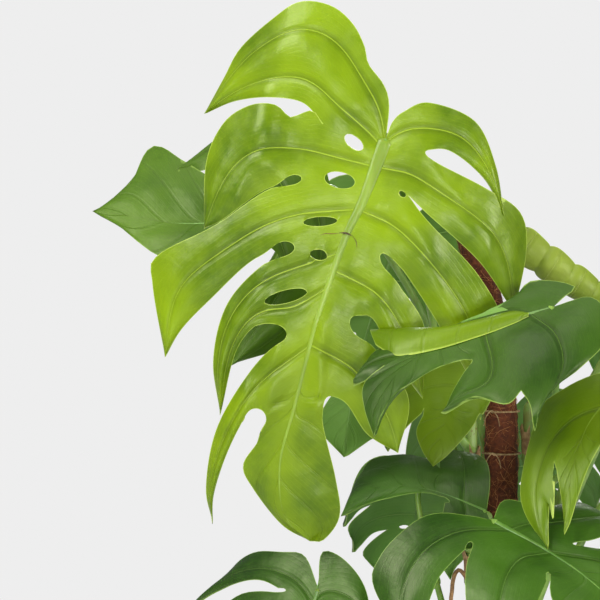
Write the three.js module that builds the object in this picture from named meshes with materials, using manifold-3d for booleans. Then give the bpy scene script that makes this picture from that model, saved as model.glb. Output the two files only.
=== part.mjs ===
// A potted monstera on a coir pole: pot, soil, pole, stems, leaf stalks and leaf blades.
// Millimetres, +Z up. The origin is the middle of the pot's underside.
import * as THREE from 'three';
import { mergeVertices } from 'three/addons/utils/BufferGeometryUtils.js';
import Module from 'manifold-3d';

const wasm = await Module();
wasm.setup();

// ---- driving dimensions -------------------------------------------------
const POT = { height: 250, topR: 145, footR: 108, wall: 3.2, floor: 5, rimH: 22, rimOut: 5 };
const SOIL_TOP = POT.height - 20;
const POLE = { r: 22, foot: 45 };
const STEM_R = 9;
const BLADE = 2.0;          // thickness of a blade
const CLEAR = 0.5;          // room left between two pieces that meet

// ---- colours ------------------------------------------------------------
const paint = (color, roughness = 0.5) => () => new THREE.MeshStandardMaterial({ color, roughness, metalness: 0 });
const potPlastic = paint(0x2b2c2e, 0.55);
const compost = paint(0x33241a, 0.95);
const coir = paint(0x693c23, 0.95);
const stemGreen = paint(0x6f9432, 0.5);
const stalkGreen = paint(0x7f9f40, 0.45);
const barkBrown = paint(0x8a6237, 0.85);
const deepLeaf = paint(0x35632a, 0.35);
const midLeaf = paint(0x4f8430, 0.36);
const youngLeaf = paint(0x8eb224, 0.38);

const plant = new THREE.Group();
plant.name = 'potted_monstera';

const V = (p) => new THREE.Vector3(...p);

function add(name, geometry, material) {
  const mesh = new THREE.Mesh(geometry, material());
  mesh.name = name;
  plant.add(mesh);
  return mesh;
}

// ---- solids -------------------------------------------------------------
function solidOf(geometry) {
  const g = geometry.clone();
  g.deleteAttribute('normal');
  g.deleteAttribute('uv');
  const m = mergeVertices(g, 1e-4);
  return new wasm.Manifold(new wasm.Mesh({
    numProp: 3,
    vertProperties: Float32Array.from(m.attributes.position.array),
    triVerts: Uint32Array.from(m.index.array),
  }));
}

function geometryOf(solid) {
  const mesh = solid.getMesh();
  const g = new THREE.BufferGeometry();
  const p = new Float32Array(mesh.numVert * 3);
  for (let i = 0; i < mesh.numVert; i++) {
    for (let k = 0; k < 3; k++) p[3 * i + k] = mesh.vertProperties[i * mesh.numProp + k];
  }
  g.setAttribute('position', new THREE.BufferAttribute(p, 3));
  g.setIndex(new THREE.BufferAttribute(Uint32Array.from(mesh.triVerts), 1));
  return g;
}

function fromLists(points, faces) {
  const g = new THREE.BufferGeometry();
  g.setAttribute('position', new THREE.Float32BufferAttribute(points.flat(), 3));
  g.setIndex(faces);
  return g;
}

// a round bar along a smooth curve, its radius going from r0 to r1
function bar(points, r0, r1, sides = 8, steps = 8) {
  const curve = new THREE.CatmullRomCurve3(points.map(V));
  const frames = curve.computeFrenetFrames(steps, false);
  const spots = curve.getSpacedPoints(steps);
  const pts = [];
  const faces = [];
  for (let i = 0; i <= steps; i++) {
    const r = r0 + (r1 - r0) * i / steps;
    for (let j = 0; j < sides; j++) {
      const a = 2 * Math.PI * j / sides;
      const p = spots[i].clone()
        .addScaledVector(frames.normals[i], r * Math.cos(a))
        .addScaledVector(frames.binormals[i], r * Math.sin(a));
      pts.push(p.toArray());
    }
  }
  const at = (i, j) => i * sides + (j % sides);
  for (let i = 0; i < steps; i++) {
    for (let j = 0; j < sides; j++) {
      faces.push(at(i, j), at(i, j + 1), at(i + 1, j + 1), at(i, j), at(i + 1, j + 1), at(i + 1, j));
    }
  }
  for (let j = 1; j < sides - 1; j++) {
    faces.push(at(0, 0), at(0, j + 1), at(0, j), at(steps, 0), at(steps, j), at(steps, j + 1));
  }
  return fromLists(pts, faces);
}

// ---- the blade: a plan of lobes, draped, then given its thickness -------
// plan points are [along the midrib, across to the right], as parts of the blade's length
function evenly(points, count) {
  if (points.length === 2) {
    return Array.from({ length: count + 1 }, (_, k) => points[0].map((v, i) => v + (points[1][i] - v) * k / count));
  }
  const curve = new THREE.CatmullRomCurve3(points.map(([a, r]) => new THREE.Vector3(a, r, 0)), false, 'catmullrom', 0.5);
  curve.arcLengthDivisions = 40 * points.length;
  return curve.getSpacedPoints(count).map((p) => [p.x, p.y]);
}

const HEART = evenly([[0, 0], [-0.12, 0.07], [-0.235, 0.20], [-0.20, 0.38], [-0.02, 0.49],
  [0.20, 0.52], [0.42, 0.47], [0.64, 0.36], [0.84, 0.19], [1, 0]], 200);

const mix = (p, q, t) => p.map((v, i) => v + (q[i] - v) * t);

function alongList(list, x) {
  const k = Math.min(Math.max(x, 0), 1) * (list.length - 1);
  const i = Math.min(Math.floor(k), list.length - 2);
  return mix(list[i], list[i + 1], k - i);
}

// a blade that follows the heart outline, with n lobes a side and the end lobe
function grown({ n = 3, depth = 0.5, wide = 1, first = 0.32, gap = 0.012, seed = 0 }) {
  const breaks = [0];
  const mouths = [0];
  for (let k = 1; k <= n; k++) {
    breaks.push(0.04 + 0.63 * (k / n) ** 1.25);
    mouths.push(first + (0.93 - first) * (k / (n + 0.35)) ** 0.95);
  }
  const side = (sign) => {
    const wob = (k, f) => Math.sin(seed * 3.1 + k * 2.3 + sign * f);
    const edge = (v) => { const [a, r] = alongList(HEART, v); return [a, sign * wide * r]; };
    const mouth = (k) => (k ? mouths[k] + 0.012 * wob(k, 1) : 0);
    const lobes = [];
    for (let k = 0; k < n; k++) {
      const [v0, v1] = [mouth(k), mouth(k + 1)];
      const split = mix([breaks[k + 1], 0], edge(v1), 1 - depth + 0.08 * wob(k, 2));
      split[0] -= 0.02;
      const tip = mix(split, edge(v1 - gap), 1.1);
      tip[0] += 0.035;
      const over = (k ? [0.14, 0.42, 0.74] : [0.12, 0.3, 0.5, 0.75]).map((x) => edge(v0 + (v1 - v0) * x));
      if (k) over[0] = mix(over[0], [breaks[k], 0], 0.06);
      const under = mix(split, tip, 0.5);
      lobes.push({ over, tip, under: [[under[0] - 0.045, under[1] - 0.01 * sign]], split });
    }
    const v0 = mouth(n);
    lobes.push({ over: [0.12, 0.4, 0.7].map((x) => edge(v0 + gap + (1 - v0) * x)) });
    return lobes;
  };
  return { breaks, left: side(-1), right: side(1), rib: [[0, 0], [0.5, 0.01 * Math.sin(seed)], [1, 0]] };
}

function bladeFrame({ along, face }) {
  const t = V(along).normalize();
  const f = V(face);
  const n = f.addScaledVector(t, -f.dot(t)).normalize();
  return { t, n, s: new THREE.Vector3().crossVectors(n, t) };
}

// puts a plan point in space: the midrib arches back and the sides fall away from it
function draper(leaf) {
  const { t, n, s } = bladeFrame(leaf);
  const { base, length: L, arch = 40, droop = 50, fold = 15, back = 0, relief } = leaf;
  const rad = Math.PI / 180;
  const parts = 24;
  return ([a, r]) => {
    const p = V(base);
    if (relief) {
      return p.addScaledVector(t, a * L).addScaledVector(s, r * L).addScaledVector(n, relief(a, r) * L);
    }
    const bend = a >= 0 ? arch * a * a : back * a / 0.25;
    for (let i = 0; i < parts; i++) {
      const q = rad * (a >= 0 ? arch * (a * (i + 0.5) / parts) ** 2 : bend);
      p.addScaledVector(t, Math.cos(q) * a * L / parts).addScaledVector(n, -Math.sin(q) * a * L / parts);
    }
    const up = n.clone().multiplyScalar(Math.cos(rad * bend)).addScaledVector(t, Math.sin(rad * bend));
    const w = Math.abs(r);
    for (let i = 0; i < parts; i++) {
      const x = w * (i + 0.5) / parts;
      const q = rad * (fold - droop * Math.min(x / 0.5, 1.3) ** 1.3);
      p.addScaledVector(s, Math.sign(r) * Math.cos(q) * w * L / parts).addScaledVector(up, Math.sin(q) * w * L / parts);
    }
    return p;
  };
}

// each lobe is a net between its two edges; lobes share the edge from midrib to split
function bladeNets(plan, rows, cells, shared) {
  const rib = evenly(plan.rib, 100);
  const nets = [];
  for (const lobes of [plan.left, plan.right]) {
    lobes.forEach((lobe, k) => {
      const last = k === lobes.length - 1;
      const end = last ? alongList(rib, 1) : lobe.tip;
      const from = alongList(rib, plan.breaks[k]);
      let upper;
      if (k === 0) upper = evenly([from, ...lobe.over, end], rows);
      else {
        const split = lobes[k - 1].split;
        upper = [...evenly([from, split], shared).slice(0, -1), ...evenly([split, ...lobe.over, end], rows - shared)];
      }
      let lower;
      if (last) {
        lower = Array.from({ length: rows + 1 }, (_, i) => alongList(rib, plan.breaks[k] + (1 - plan.breaks[k]) * i / rows));
      } else {
        const to = alongList(rib, plan.breaks[k + 1]);
        lower = [...evenly([to, lobe.split], shared).slice(0, -1),
          ...evenly([lobe.split, ...lobe.under, end], rows - shared)];
      }
      const net = upper.map((u, i) => Array.from({ length: cells + 1 }, (_, j) => mix(u, lower[i], j / cells)));
      nets.push({ net, mirrored: lobes === plan.left });
    });
  }
  return nets;
}

// a plan drawn in millimetres, as parts of the blade's length
function scaled(plan, length) {
  const part = (list) => list.map((p) => p.map((v) => v / length));
  const side = (lobes) => lobes.map(({ over, under, tip, split }) => (tip
    ? { over: part(over), under: part(under), tip: part([tip])[0], split: part([split])[0] } : { over: part(over) }));
  return { breaks: plan.breaks, rib: part(plan.rib), left: side(plan.left), right: side(plan.right) };
}

function blade(leaf) {
  const plan = PLANS[leaf.name] ? scaled(PLANS[leaf.name], leaf.length) : grown(leaf);
  const { rows = 6, cells = 2, shared = 2 } = leaf;
  const put = draper(leaf);
  const points = [];
  const known = new Map();
  const index = (q) => {
    const key = `${Math.round(q[0] * 1e5)},${Math.round(q[1] * 1e5)}`;
    if (!known.has(key)) { known.set(key, points.length); points.push(put(q)); }
    return known.get(key);
  };
  const faces = [];
  const tri = (a, b, c) => { if (a !== b && b !== c && a !== c) faces.push([a, b, c]); };
  for (const { net, mirrored } of bladeNets(plan, rows, cells, shared)) {
    const id = net.map((row) => row.map(index));
    for (let i = 0; i < rows; i++) {
      for (let j = 0; j < cells; j++) {
        const q = [id[i][j], id[i][j + 1], id[i + 1][j + 1], id[i + 1][j]];
        if (mirrored) q.reverse();
        tri(q[0], q[1], q[2]);
        tri(q[0], q[2], q[3]);
      }
    }
  }
  return thicken(points, faces, BLADE);
}

// the skin's second side lies one thickness under the first, and a rim closes the two
function thicken(points, faces, t) {
  const normals = points.map(() => new THREE.Vector3());
  const edges = new Map();
  for (const [a, b, c] of faces) {
    const n = new THREE.Vector3().subVectors(points[b], points[a])
      .cross(new THREE.Vector3().subVectors(points[c], points[a]));
    for (const k of [a, b, c]) normals[k].add(n);
    for (const [p, q] of [[a, b], [b, c], [c, a]]) edges.set(`${p},${q}`, [p, q]);
  }
  const under = points.map((p, i) => p.clone().addScaledVector(normals[i].normalize(), -t));
  const n = points.length;
  const all = faces.flatMap(([a, b, c]) => [a, b, c, n + a, n + c, n + b]);
  for (const [p, q] of edges.values()) {
    if (!edges.has(`${q},${p}`)) all.push(p, n + p, n + q, p, n + q, q);
  }
  return fromLists([...points, ...under].map((p) => p.toArray()), all);
}

// ---- leaves -------------------------------------------------------------
// the leaves of the front, each with its own lobes: points in millimetres, [along the midrib, across]
const lobe = (over, under, tip, split) => ({ over, under, tip, split });
const PLANS = {
  leaf_1: {
    breaks: [0, 0.1, 0.22, 0.34, 0.52, 0.72],
    rib: [[0, 0], [76, -6], [124, -14], [222, -20], [334, -18], [404, -16], [464, 6], [486, 44]],
    left: [
      lobe([[-38, -7], [-59, -19], [-78, -43], [-98, -54], [-120, -75], [-133, -105], [-128, -141], [-101, -167],
        [-59, -195], [-19, -205]],
        [[-14, -106], [-10, -144], [4, -184]], [28, -216], [4, -76]),
      lobe([[-8, -92], [2, -108], [6, -117], [-3, -136], [6, -166], [34, -190], [84, -197]],
        [[98, -122], [142, -158]], [160, -178], [72, -82]),
      lobe([[98, -120], [152, -166], [206, -224], [240, -220]],
        [[178, -110], [238, -148], [282, -172]], [320, -182], [152, -66]),
      lobe([[186, -102], [240, -128], [306, -126]], [[248, -82], [288, -102]], [368, -100], [250, -50]),
      lobe([[308, -80], [384, -100], [456, -94]], [[362, -70], [410, -80], [464, -82]], [498, -74], [348, -54]),
      { over: [[382, -48], [418, -58], [442, -40], [476, 6]] },
    ],
    right: [
      lobe([[-20, 2], [-36, 12], [-54, 38], [-48, 96], [-4, 134]], [[-6, 76], [14, 124]], [50, 160], [4, 44]),
      lobe([[12, 66], [24, 128], [40, 178], [82, 198]], [[74, 74], [110, 146]], [156, 204], [58, 44]),
      lobe([[82, 76], [126, 150], [180, 196]], [[140, 56], [194, 120]], [242, 170], [132, 28]),
      lobe([[162, 62], [204, 106]], [[208, 42], [248, 80]], [284, 126], [214, 16]),
      lobe([[242, 56], [288, 110]], [[310, 36], [342, 74]], [354, 116], [316, 14]),
      { over: [[344, 20], [402, 52], [446, 70], [480, 60]] },
    ],
  },
  leaf_2: {
    breaks: [0, 0.35],
    rib: [[0, 0], [150, 18], [290, -46]],
    left: [
      lobe([[0, -50], [22, -106], [68, -132]], [[132, -58]], [184, -68], [136, -38]),
      { over: [[168, -86], [198, -122], [238, -70]] },
    ],
    right: [
      lobe([[0, 70], [40, 154], [100, 196]], [[86, 88], [92, 106], [126, 135], [148, 161]], [179, 204], [109, 52]),
      { over: [[150, 60], [193, 66], [233, 34], [262, -14]] },
    ],
  },
  leaf_3: {
    breaks: [0, 0.2, 0.4],
    rib: [[0, 0], [102, -26], [200, -38], [278, 8]],
    left: [
      lobe([[-18, -3], [-41, -8], [-25, -35], [-5, -50], [20, -40], [44, -25], [81, -38], [123, -60], [154, -98]],
        [[188, -92]], [172, -126], [168, -66]),
      lobe([[190, -92], [218, -90]], [[228, -66]], [246, -74], [206, -58]),
      { over: [[236, -62], [258, -36]] },
    ],
    right: [
      lobe([[-20, 8], [-42, 18], [-40, 52], [-10, 82], [40, 94], [92, 98]], [[118, 102]], [134, 130], [116, 82]),
      lobe([[140, 84], [160, 52]], [[172, 26]], [204, 44], [126, 8]),
      { over: [[160, -10], [220, -18], [256, -6]] },
    ],
  },
  leaf_5: {
    breaks: [0, 0.35],
    rib: [[0, 0], [62, -16], [134, -8], [198, 6]],
    left: [
      lobe([[-10, -28], [26, -68], [58, -88], [126, -78], [178, -60]], [[186, -12], [156, -28]], [220, -8], [126, -30]),
      { over: [[150, -16], [174, -4]] },
    ],
    right: [
      lobe([[-18, 16], [2, 62], [66, 78]], [[104, 50]], [156, 88], [84, 10]),
      { over: [[112, 6], [146, 6], [178, 8]] },
    ],
  },
  leaf_6: {
    breaks: [0, 0.3],
    rib: [[0, 0], [60, -52], [112, -74], [170, -44]],
    left: [
      lobe([[-22, -46], [-34, -90], [-30, -130]], [[14, -116]], [-10, -150], [28, -84]),
      { over: [[30, -120], [44, -170], [90, -176], [146, -80]] },
    ],
    right: [
      lobe([[8, 30], [40, 50]], [[60, 0]], [88, 26], [42, -30]),
      { over: [[62, -46], [98, -52], [132, -52]] },
    ],
  },
  leaf_7: {
    breaks: [0, 0.18, 0.4],
    rib: [[0, 0], [76, 10], [154, 12], [272, -2]],
    left: [
      lobe([[-36, -26], [-56, -48], [-66, -82], [-68, -124], [-54, -156]], [[4, -96], [14, -138]], [12, -188], [6, -40]),
      lobe([[24, -76], [68, -122]], [[112, -48], [132, -104]], [130, -152], [98, -12]),
      { over: [[124, -40], [188, -66], [236, -50]] },
    ],
    right: [
      lobe([[-8, 32], [32, 56], [54, 108]], [[104, 72]], [108, 130], [88, 34]),
      lobe([[116, 56], [148, 94]], [[192, 56]], [212, 82], [152, 40]),
      { over: [[202, 46], [250, 24]] },
    ],
  },
  leaf_8: {
    breaks: [0, 0.18, 0.4],
    rib: [[0, 0], [108, 6], [232, -4]],
    left: [
      lobe([[-36, -32], [-34, -64], [-28, -112], [-2, -144]], [[6, -92]], [38, -184], [16, -34]),
      lobe([[26, -98], [66, -130]], [[88, -80]], [128, -110], [68, -40]),
      { over: [[116, -60], [178, -34]] },
    ],
    right: [
      lobe([[-46, -12], [-42, 20], [-10, 60]], [[24, 52]], [58, 92], [44, 26]),
      lobe([[56, 56], [102, 78]], [[112, 44]], [140, 72], [100, 14]),
      { over: [[138, 38], [176, 26]] },
    ],
  },
  leaf_9: {
    breaks: [0, 0.4],
    rib: [[0, 0], [60, -10], [130, -10]],
    left: [
      lobe([[-6, -26], [16, -68], [42, -122], [74, -142]], [[94, -60]], [130, -78], [66, -40]),
      { over: [[94, -44], [116, -28]] },
    ],
    right: [
      lobe([[-2, 16], [8, 32], [28, 34]], [[57, 26]], [59, 29], [54, 26]),
      { over: [[70, 23], [92, 14], [114, 2]] },
    ],
  },
};

const LEAVES = [
  // the front, upper left
  { name: 'leaf_1', colour: youngLeaf, base: [-149, -230, 1115], along: [-0.27, 0, -0.96], face: [0, -1, 0],
    length: 520, relief: (a, r) => -0.22 * Math.max(0, a - 0.1) ** 2 - 0.28 * r * r, rows: 8, shared: 3 },
  { name: 'leaf_2', colour: midLeaf, base: [-213, -60, 1066], along: [-0.93, -0.15, -0.2], face: [-0.2, -0.85, 0.45],
    length: 300, droop: 35, arch: 15, fold: 10 },
  { name: 'leaf_3', colour: deepLeaf, base: [46, -242, 917], along: [-0.80, -0.42, -0.42], face: [-0.18, -0.72, 0.66],
    length: 300, droop: 40, arch: 30, fold: 5 },
  { name: 'leaf_5', colour: youngLeaf, base: [128, -230, 825], along: [-0.45, -0.42, -0.79], face: [-0.35, -0.80, 0.50],
    length: 220, droop: 35, arch: 30, fold: 5 },
  { name: 'leaf_6', colour: deepLeaf, base: [-27, -170, 673], along: [-0.93, -0.3, -0.15], face: [-0.1, -0.75, 0.66],
    length: 200, droop: 30, arch: 20, fold: 5 },
  { name: 'leaf_7', colour: deepLeaf, base: [-25, -250, 668], along: [0.72, -0.45, -0.5], face: [0.05, -0.75, 0.66],
    length: 280, droop: 35, arch: 25, fold: 5 },
  { name: 'leaf_8', colour: deepLeaf, base: [-228, -150, 579], along: [-0.35, -0.42, -0.84], face: [-0.25, -0.8, 0.55],
    length: 250, droop: 30, arch: 35, fold: 5 },
  { name: 'leaf_9', colour: youngLeaf, base: [-39, -110, 842], along: [-0.35, -0.25, -0.9], face: [-0.25, -0.9, 0.35],
    length: 150, droop: 30, arch: 25, fold: 5 },
  // the right side and the back
  { name: 'leaf_10', colour: midLeaf, base: [295, -80, 1080], along: [0.62, -0.35, -0.7], face: [0.25, -0.8, 0.55],
    length: 330, n: 4, droop: 55, arch: 45, seed: 10 },
  { name: 'leaf_11', colour: deepLeaf, base: [275, -110, 780], along: [0.75, -0.35, -0.56], face: [0.4, -0.5, 0.78],
    length: 310, n: 4, droop: 65, arch: 45, seed: 11 },
  { name: 'leaf_12', colour: deepLeaf, base: [250, 160, 900], along: [0.6, 0.5, -0.62], face: [0.3, 0.6, 0.75],
    length: 320, n: 4, droop: 60, arch: 45, seed: 12 },
  { name: 'leaf_13', colour: midLeaf, base: [-120, 170, 1010], along: [-0.25, 0.6, -0.76], face: [-0.1, 0.75, 0.65],
    length: 340, n: 4, droop: 55, arch: 45, seed: 13 },
  { name: 'leaf_14', colour: deepLeaf, base: [-98, 118, 690], along: [0.0, 0.72, -0.7], face: [-0.05, 0.7, 0.71],
    length: 200, n: 3, droop: 60, arch: 45, seed: 14 },
  { name: 'leaf_15', colour: deepLeaf, base: [20, 220, 760], along: [0.1, 0.75, -0.65], face: [0.05, 0.55, 0.83],
    length: 290, n: 3, droop: 65, arch: 45, seed: 15 },
  { name: 'leaf_16', colour: deepLeaf, base: [220, 60, 600], along: [0.85, 0.2, -0.5], face: [0.45, 0.1, 0.88],
    length: 260, n: 3, droop: 60, arch: 45, seed: 16 },
  { name: 'leaf_17', colour: deepLeaf, base: [30, -250, 400], along: [0.2, -0.75, -0.62], face: [0.1, -0.5, 0.86],
    length: 210, n: 2, droop: 55, arch: 45, seed: 17 },
  { name: 'leaf_18', colour: deepLeaf, base: [-150, 130, 500], along: [-0.7, 0.45, -0.55], face: [-0.4, 0.4, 0.8],
    length: 230, n: 2, droop: 55, arch: 45, seed: 18 },
];

// each stalk rises from its stem, runs out and meets the underside of its blade
const STALKS = {
  leaf_1: [[-48, -30, 640], [-82, -30, 880], [-125, -185, 1040]],
  leaf_2: [[-50, 0, 700], [-84, 20, 880], [-175, -10, 1030]],
  leaf_3: [[44, -40, 620], [60, -90, 780], [52, -198, 890]],
  leaf_5: [[48, -26, 560], [90, -80, 690], [128, -180, 800]],
  leaf_6: [[0, -50, 480], [-4, -80, 590], [-22, -135, 655]],
  leaf_7: [[20, -50, 400], [20, -110, 520], [-18, -205, 635]],
  leaf_8: [[-50, -24, 330], [-110, -60, 460], [-200, -120, 555]],
  leaf_9: [[-52, -24, 760], [-50, -50, 800], [-38, -86, 832]],
  leaf_10: [[48, -20, 700], [130, -40, 860], [265, -62, 1050]],
  leaf_11: [[56, -10, 520], [130, -40, 680], [235, -92, 755]],
  leaf_12: [[40, 32, 600], [120, 80, 760], [225, 138, 872]],
  leaf_13: [[-4, 52, 690], [-44, 80, 840], [-112, 142, 982]],
  leaf_14: [[-50, 20, 480], [-80, 60, 580], [-98, 98, 664]],
  leaf_15: [[10, 52, 500], [15, 110, 640], [20, 190, 735]],
  leaf_16: [[56, 14, 380], [120, 35, 500], [190, 55, 580]],
  leaf_17: [[16, -52, 290], [25, -120, 350], [30, -215, 380]],
  leaf_18: [[-46, 40, 290], [-80, 75, 400], [-125, 110, 475]],
};

// ---- pot and soil -------------------------------------------------------
function lathe(profile, segments = 40) {
  const g = new THREE.LatheGeometry(profile.map(([r, z]) => new THREE.Vector2(r, z)), segments);
  return g.rotateX(Math.PI / 2);
}

const potOuter = (z) => POT.footR + (POT.topR - POT.footR) * z / POT.height;

function pot() {
  const { height: h, wall, floor, rimH, rimOut } = POT;
  const [t0, t1] = [potOuter(h - rimH), potOuter(h)];
  let body = solidOf(lathe([[0, 0], [POT.footR, 0], [t0, h - rimH], [t0 + rimOut, h - rimH], [t1 + rimOut, h],
    [t1 - wall, h], [potOuter(floor) - wall, floor], [0, floor]]));
  for (let k = 0; k < 6; k++) {
    const a = Math.PI * (k + 0.5) / 3;
    const hole = wasm.Manifold.cylinder(30, 7, 7, 12, true).translate([70 * Math.cos(a), 70 * Math.sin(a), 0]);
    body = body.subtract(hole);
  }
  return geometryOf(body);
}

function soil(rods) {
  const inner = (z) => potOuter(z) - POT.wall - CLEAR;
  const foot = POT.floor + CLEAR;
  let body = solidOf(lathe([[0, foot], [inner(foot), foot], [inner(SOIL_TOP), SOIL_TOP], [90, SOIL_TOP + 5],
    [45, SOIL_TOP + 2], [0, SOIL_TOP + 4]], 36));
  for (const rod of rods) body = body.subtract(rod);
  return geometryOf(body);
}

const polePath = [[0, 0, POLE.foot], [0, 0, 500], [0, 0, 790], [-12, 4, 890], [-38, 6, 1030]];
const stemPaths = {
  stem_1: [[-30, -40, 120], [-34, -32, 260], [-36, -22, 480], [-36, -16, 780]],
  stem_2: [[34, -38, 120], [36, -26, 260], [36, -14, 480], [36, -8, 800]],
  stem_3: [[4, 44, 120], [2, 38, 260], [0, 36, 480], [-4, 37, 740]],
};

// twine tied round the pole, and roots that hang in the air from the stems
const TIES = { pole_tie_1: 732, pole_tie_2: 787, pole_tie_3: 610 };
function tie(z) {
  const centres = new THREE.CatmullRomCurve3(polePath.map(V)).getSpacedPoints(200);
  const c = centres.reduce((a, b) => (Math.abs(b.z - z) < Math.abs(a.z - z) ? b : a));
  const r = POLE.r + 2 * CLEAR + 0.4;
  return lathe([[r, -1], [r + 2, -1], [r + 2, 1], [r, 1], [r, -1]], 20).translate(c.x, c.y, z);
}
const airRoots = {
  air_root_1: [[-56, -40, 590], [-66, -54, 500], [-60, -50, 400], [-72, -64, 300], [-76, -70, 242]],
  air_root_2: [[52, -44, 540], [66, -52, 440], [58, -70, 330], [72, -84, 242]],
  air_root_3: [[8, 58, 430], [-6, 74, 340], [6, 86, 242]],
};

// ---- the unfurling leaf: a rolled cone on its own stalk ------------------
function rolledLeaf() {
  return bar([[222, -104, 872], [165, -112, 900], [100, -118, 934], [38, -124, 982]], 17, 26, 12, 10);
}

// ---- build --------------------------------------------------------------
function build() {
  add('pot', pot(), potPlastic);
  const rods = [bar(polePath, POLE.r + CLEAR, POLE.r + CLEAR, 14, 14)];
  for (const path of Object.values(stemPaths)) rods.push(bar(path, STEM_R + CLEAR, STEM_R + CLEAR, 8, 8));
  add('soil', soil(rods.map(solidOf)), compost);
  add('coir_pole', bar(polePath, POLE.r, POLE.r, 14, 14), coir);
  for (const [name, path] of Object.entries(stemPaths)) add(name, bar(path, STEM_R, STEM_R * 0.8), stemGreen);
  for (const leaf of LEAVES) {
    add(leaf.name, blade(leaf), leaf.colour);
    const f = bladeFrame(leaf);
    const end = V(leaf.base).addScaledVector(f.n, -(BLADE + 5)).addScaledVector(f.t, -3);
    add(`${leaf.name}_stalk`, bar([...STALKS[leaf.name], end.toArray()], 5.5, 3.2, 6, 7), stalkGreen);
  }
  for (const [name, z] of Object.entries(TIES)) add(name, tie(z), barkBrown);
  for (const [name, path] of Object.entries(airRoots)) add(name, bar(path, 2.4, 1.4, 5, 8), barkBrown);
  add('rolled_leaf', rolledLeaf(), youngLeaf);
  add('rolled_leaf_stalk', bar([[54, -22, 690], [120, -62, 750], [224, -100, 848]], 5, 3.5, 6, 6), stalkGreen);
}

build();
export default plant;
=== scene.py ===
# %% [markdown]
# # A potted monstera on a coir pole
# The pot, the soil, the pole, the stems, the leaf stalks and the blades already stand in a
# fixed frame of plain solids. This script keeps every piece in its place in that frame and
# gives it the shape and the surface of the living plant. It works in metres, with +Z up and
# the origin at the middle of the pot's underside.

# %% Load the frame and keep its size
import math
import random

import bpy
import numpy as np
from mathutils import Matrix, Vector, kdtree, noise


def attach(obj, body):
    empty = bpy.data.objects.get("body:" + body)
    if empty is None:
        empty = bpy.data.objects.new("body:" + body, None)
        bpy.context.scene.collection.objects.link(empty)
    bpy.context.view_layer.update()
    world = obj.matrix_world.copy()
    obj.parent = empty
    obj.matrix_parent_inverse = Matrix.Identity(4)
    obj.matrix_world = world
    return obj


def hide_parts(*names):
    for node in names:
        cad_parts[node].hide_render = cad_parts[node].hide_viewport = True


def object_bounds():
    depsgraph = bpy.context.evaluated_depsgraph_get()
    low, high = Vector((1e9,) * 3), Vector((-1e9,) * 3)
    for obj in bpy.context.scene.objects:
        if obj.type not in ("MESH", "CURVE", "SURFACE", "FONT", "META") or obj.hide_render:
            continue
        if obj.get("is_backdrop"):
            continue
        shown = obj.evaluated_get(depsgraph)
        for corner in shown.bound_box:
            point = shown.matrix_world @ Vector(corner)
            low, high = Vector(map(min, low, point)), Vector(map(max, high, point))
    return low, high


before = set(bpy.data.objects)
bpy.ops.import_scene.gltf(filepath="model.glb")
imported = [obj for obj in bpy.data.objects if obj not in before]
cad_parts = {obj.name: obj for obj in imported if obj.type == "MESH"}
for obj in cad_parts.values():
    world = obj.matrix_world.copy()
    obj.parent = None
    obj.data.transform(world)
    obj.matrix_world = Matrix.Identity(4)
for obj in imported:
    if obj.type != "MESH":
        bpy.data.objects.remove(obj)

cad_size = [list(corner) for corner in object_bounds()]
print("the frame's box:", [[round(v, 3) for v in corner] for corner in cad_size])

# %% [markdown]
# ## Small tools
# Most of this plant is thin and curved, so nearly every piece starts as a flat grid that is
# laid in place: a lobe of a leaf is a grid laid between its two edges, and a stem is a grid
# wrapped round a line. Modelling each by hand from extrusions would give the same faces, but
# the grid keeps its rows, so that veins and rings can follow them.

# %% Nothing stays selected before a new piece is added
def clear_selection():
    if bpy.context.object and bpy.context.object.mode != "OBJECT":
        bpy.ops.object.mode_set(mode="OBJECT")
    bpy.ops.object.select_all(action="DESELECT")


def pick(piece):
    clear_selection()
    piece.select_set(True)
    bpy.context.view_layer.objects.active = piece


# %% A grid whose crossings are laid at given places
def lay_grid(name, spots):
    rows, cells = spots.shape[0] - 1, spots.shape[1] - 1
    clear_selection()
    bpy.ops.mesh.primitive_grid_add(x_subdivisions=cells, y_subdivisions=rows, size=1)
    sheet = bpy.context.object
    sheet.name = sheet.data.name = name
    flat = np.empty(len(sheet.data.vertices) * 3)
    sheet.data.vertices.foreach_get("co", flat)
    flat = flat.reshape(-1, 3)
    j = np.rint((flat[:, 0] + 0.5) * cells).astype(int)
    i = np.rint((flat[:, 1] + 0.5) * rows).astype(int)
    sheet.data.vertices.foreach_set("co", spots[i, j].ravel())
    sheet.data.update()
    return sheet, i, j


# %% A number kept at every point of a mesh, which its material can read
def keep_number(piece, name, values):
    layer = piece.data.attributes.get(name) or piece.data.attributes.new(name, "FLOAT", "POINT")
    layer.data.foreach_set("value", np.asarray(values, dtype=np.float32))


def keep_corner_number(piece, name, values):
    """the same, kept apart at each face's corner, so that neighbours may differ along a shared edge"""
    corners = np.empty(len(piece.data.loops), dtype=np.int32)
    piece.data.loops.foreach_get("vertex_index", corners)
    layer = piece.data.attributes.get(name) or piece.data.attributes.new(name, "FLOAT", "CORNER")
    layer.data.foreach_set("value", np.asarray(values, dtype=np.float32)[corners])


def points_of(piece):
    co = np.empty(len(piece.data.vertices) * 3)
    piece.data.vertices.foreach_get("co", co)
    return co.reshape(-1, 3)


def put_points(piece, co):
    piece.data.vertices.foreach_set("co", np.asarray(co, dtype=np.float64).ravel())
    piece.data.update()


# %% Join pieces, and merge the points that lie on each other
def join(pieces, merge=None):
    pick(pieces[0])
    for piece in pieces[1:]:
        piece.select_set(True)
    bpy.ops.object.join()
    whole = bpy.context.object
    if merge:
        bpy.ops.object.mode_set(mode="EDIT")
        bpy.ops.mesh.select_all(action="SELECT")
        bpy.ops.mesh.remove_doubles(threshold=merge)
        bpy.ops.object.mode_set(mode="OBJECT")
    return whole


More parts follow.
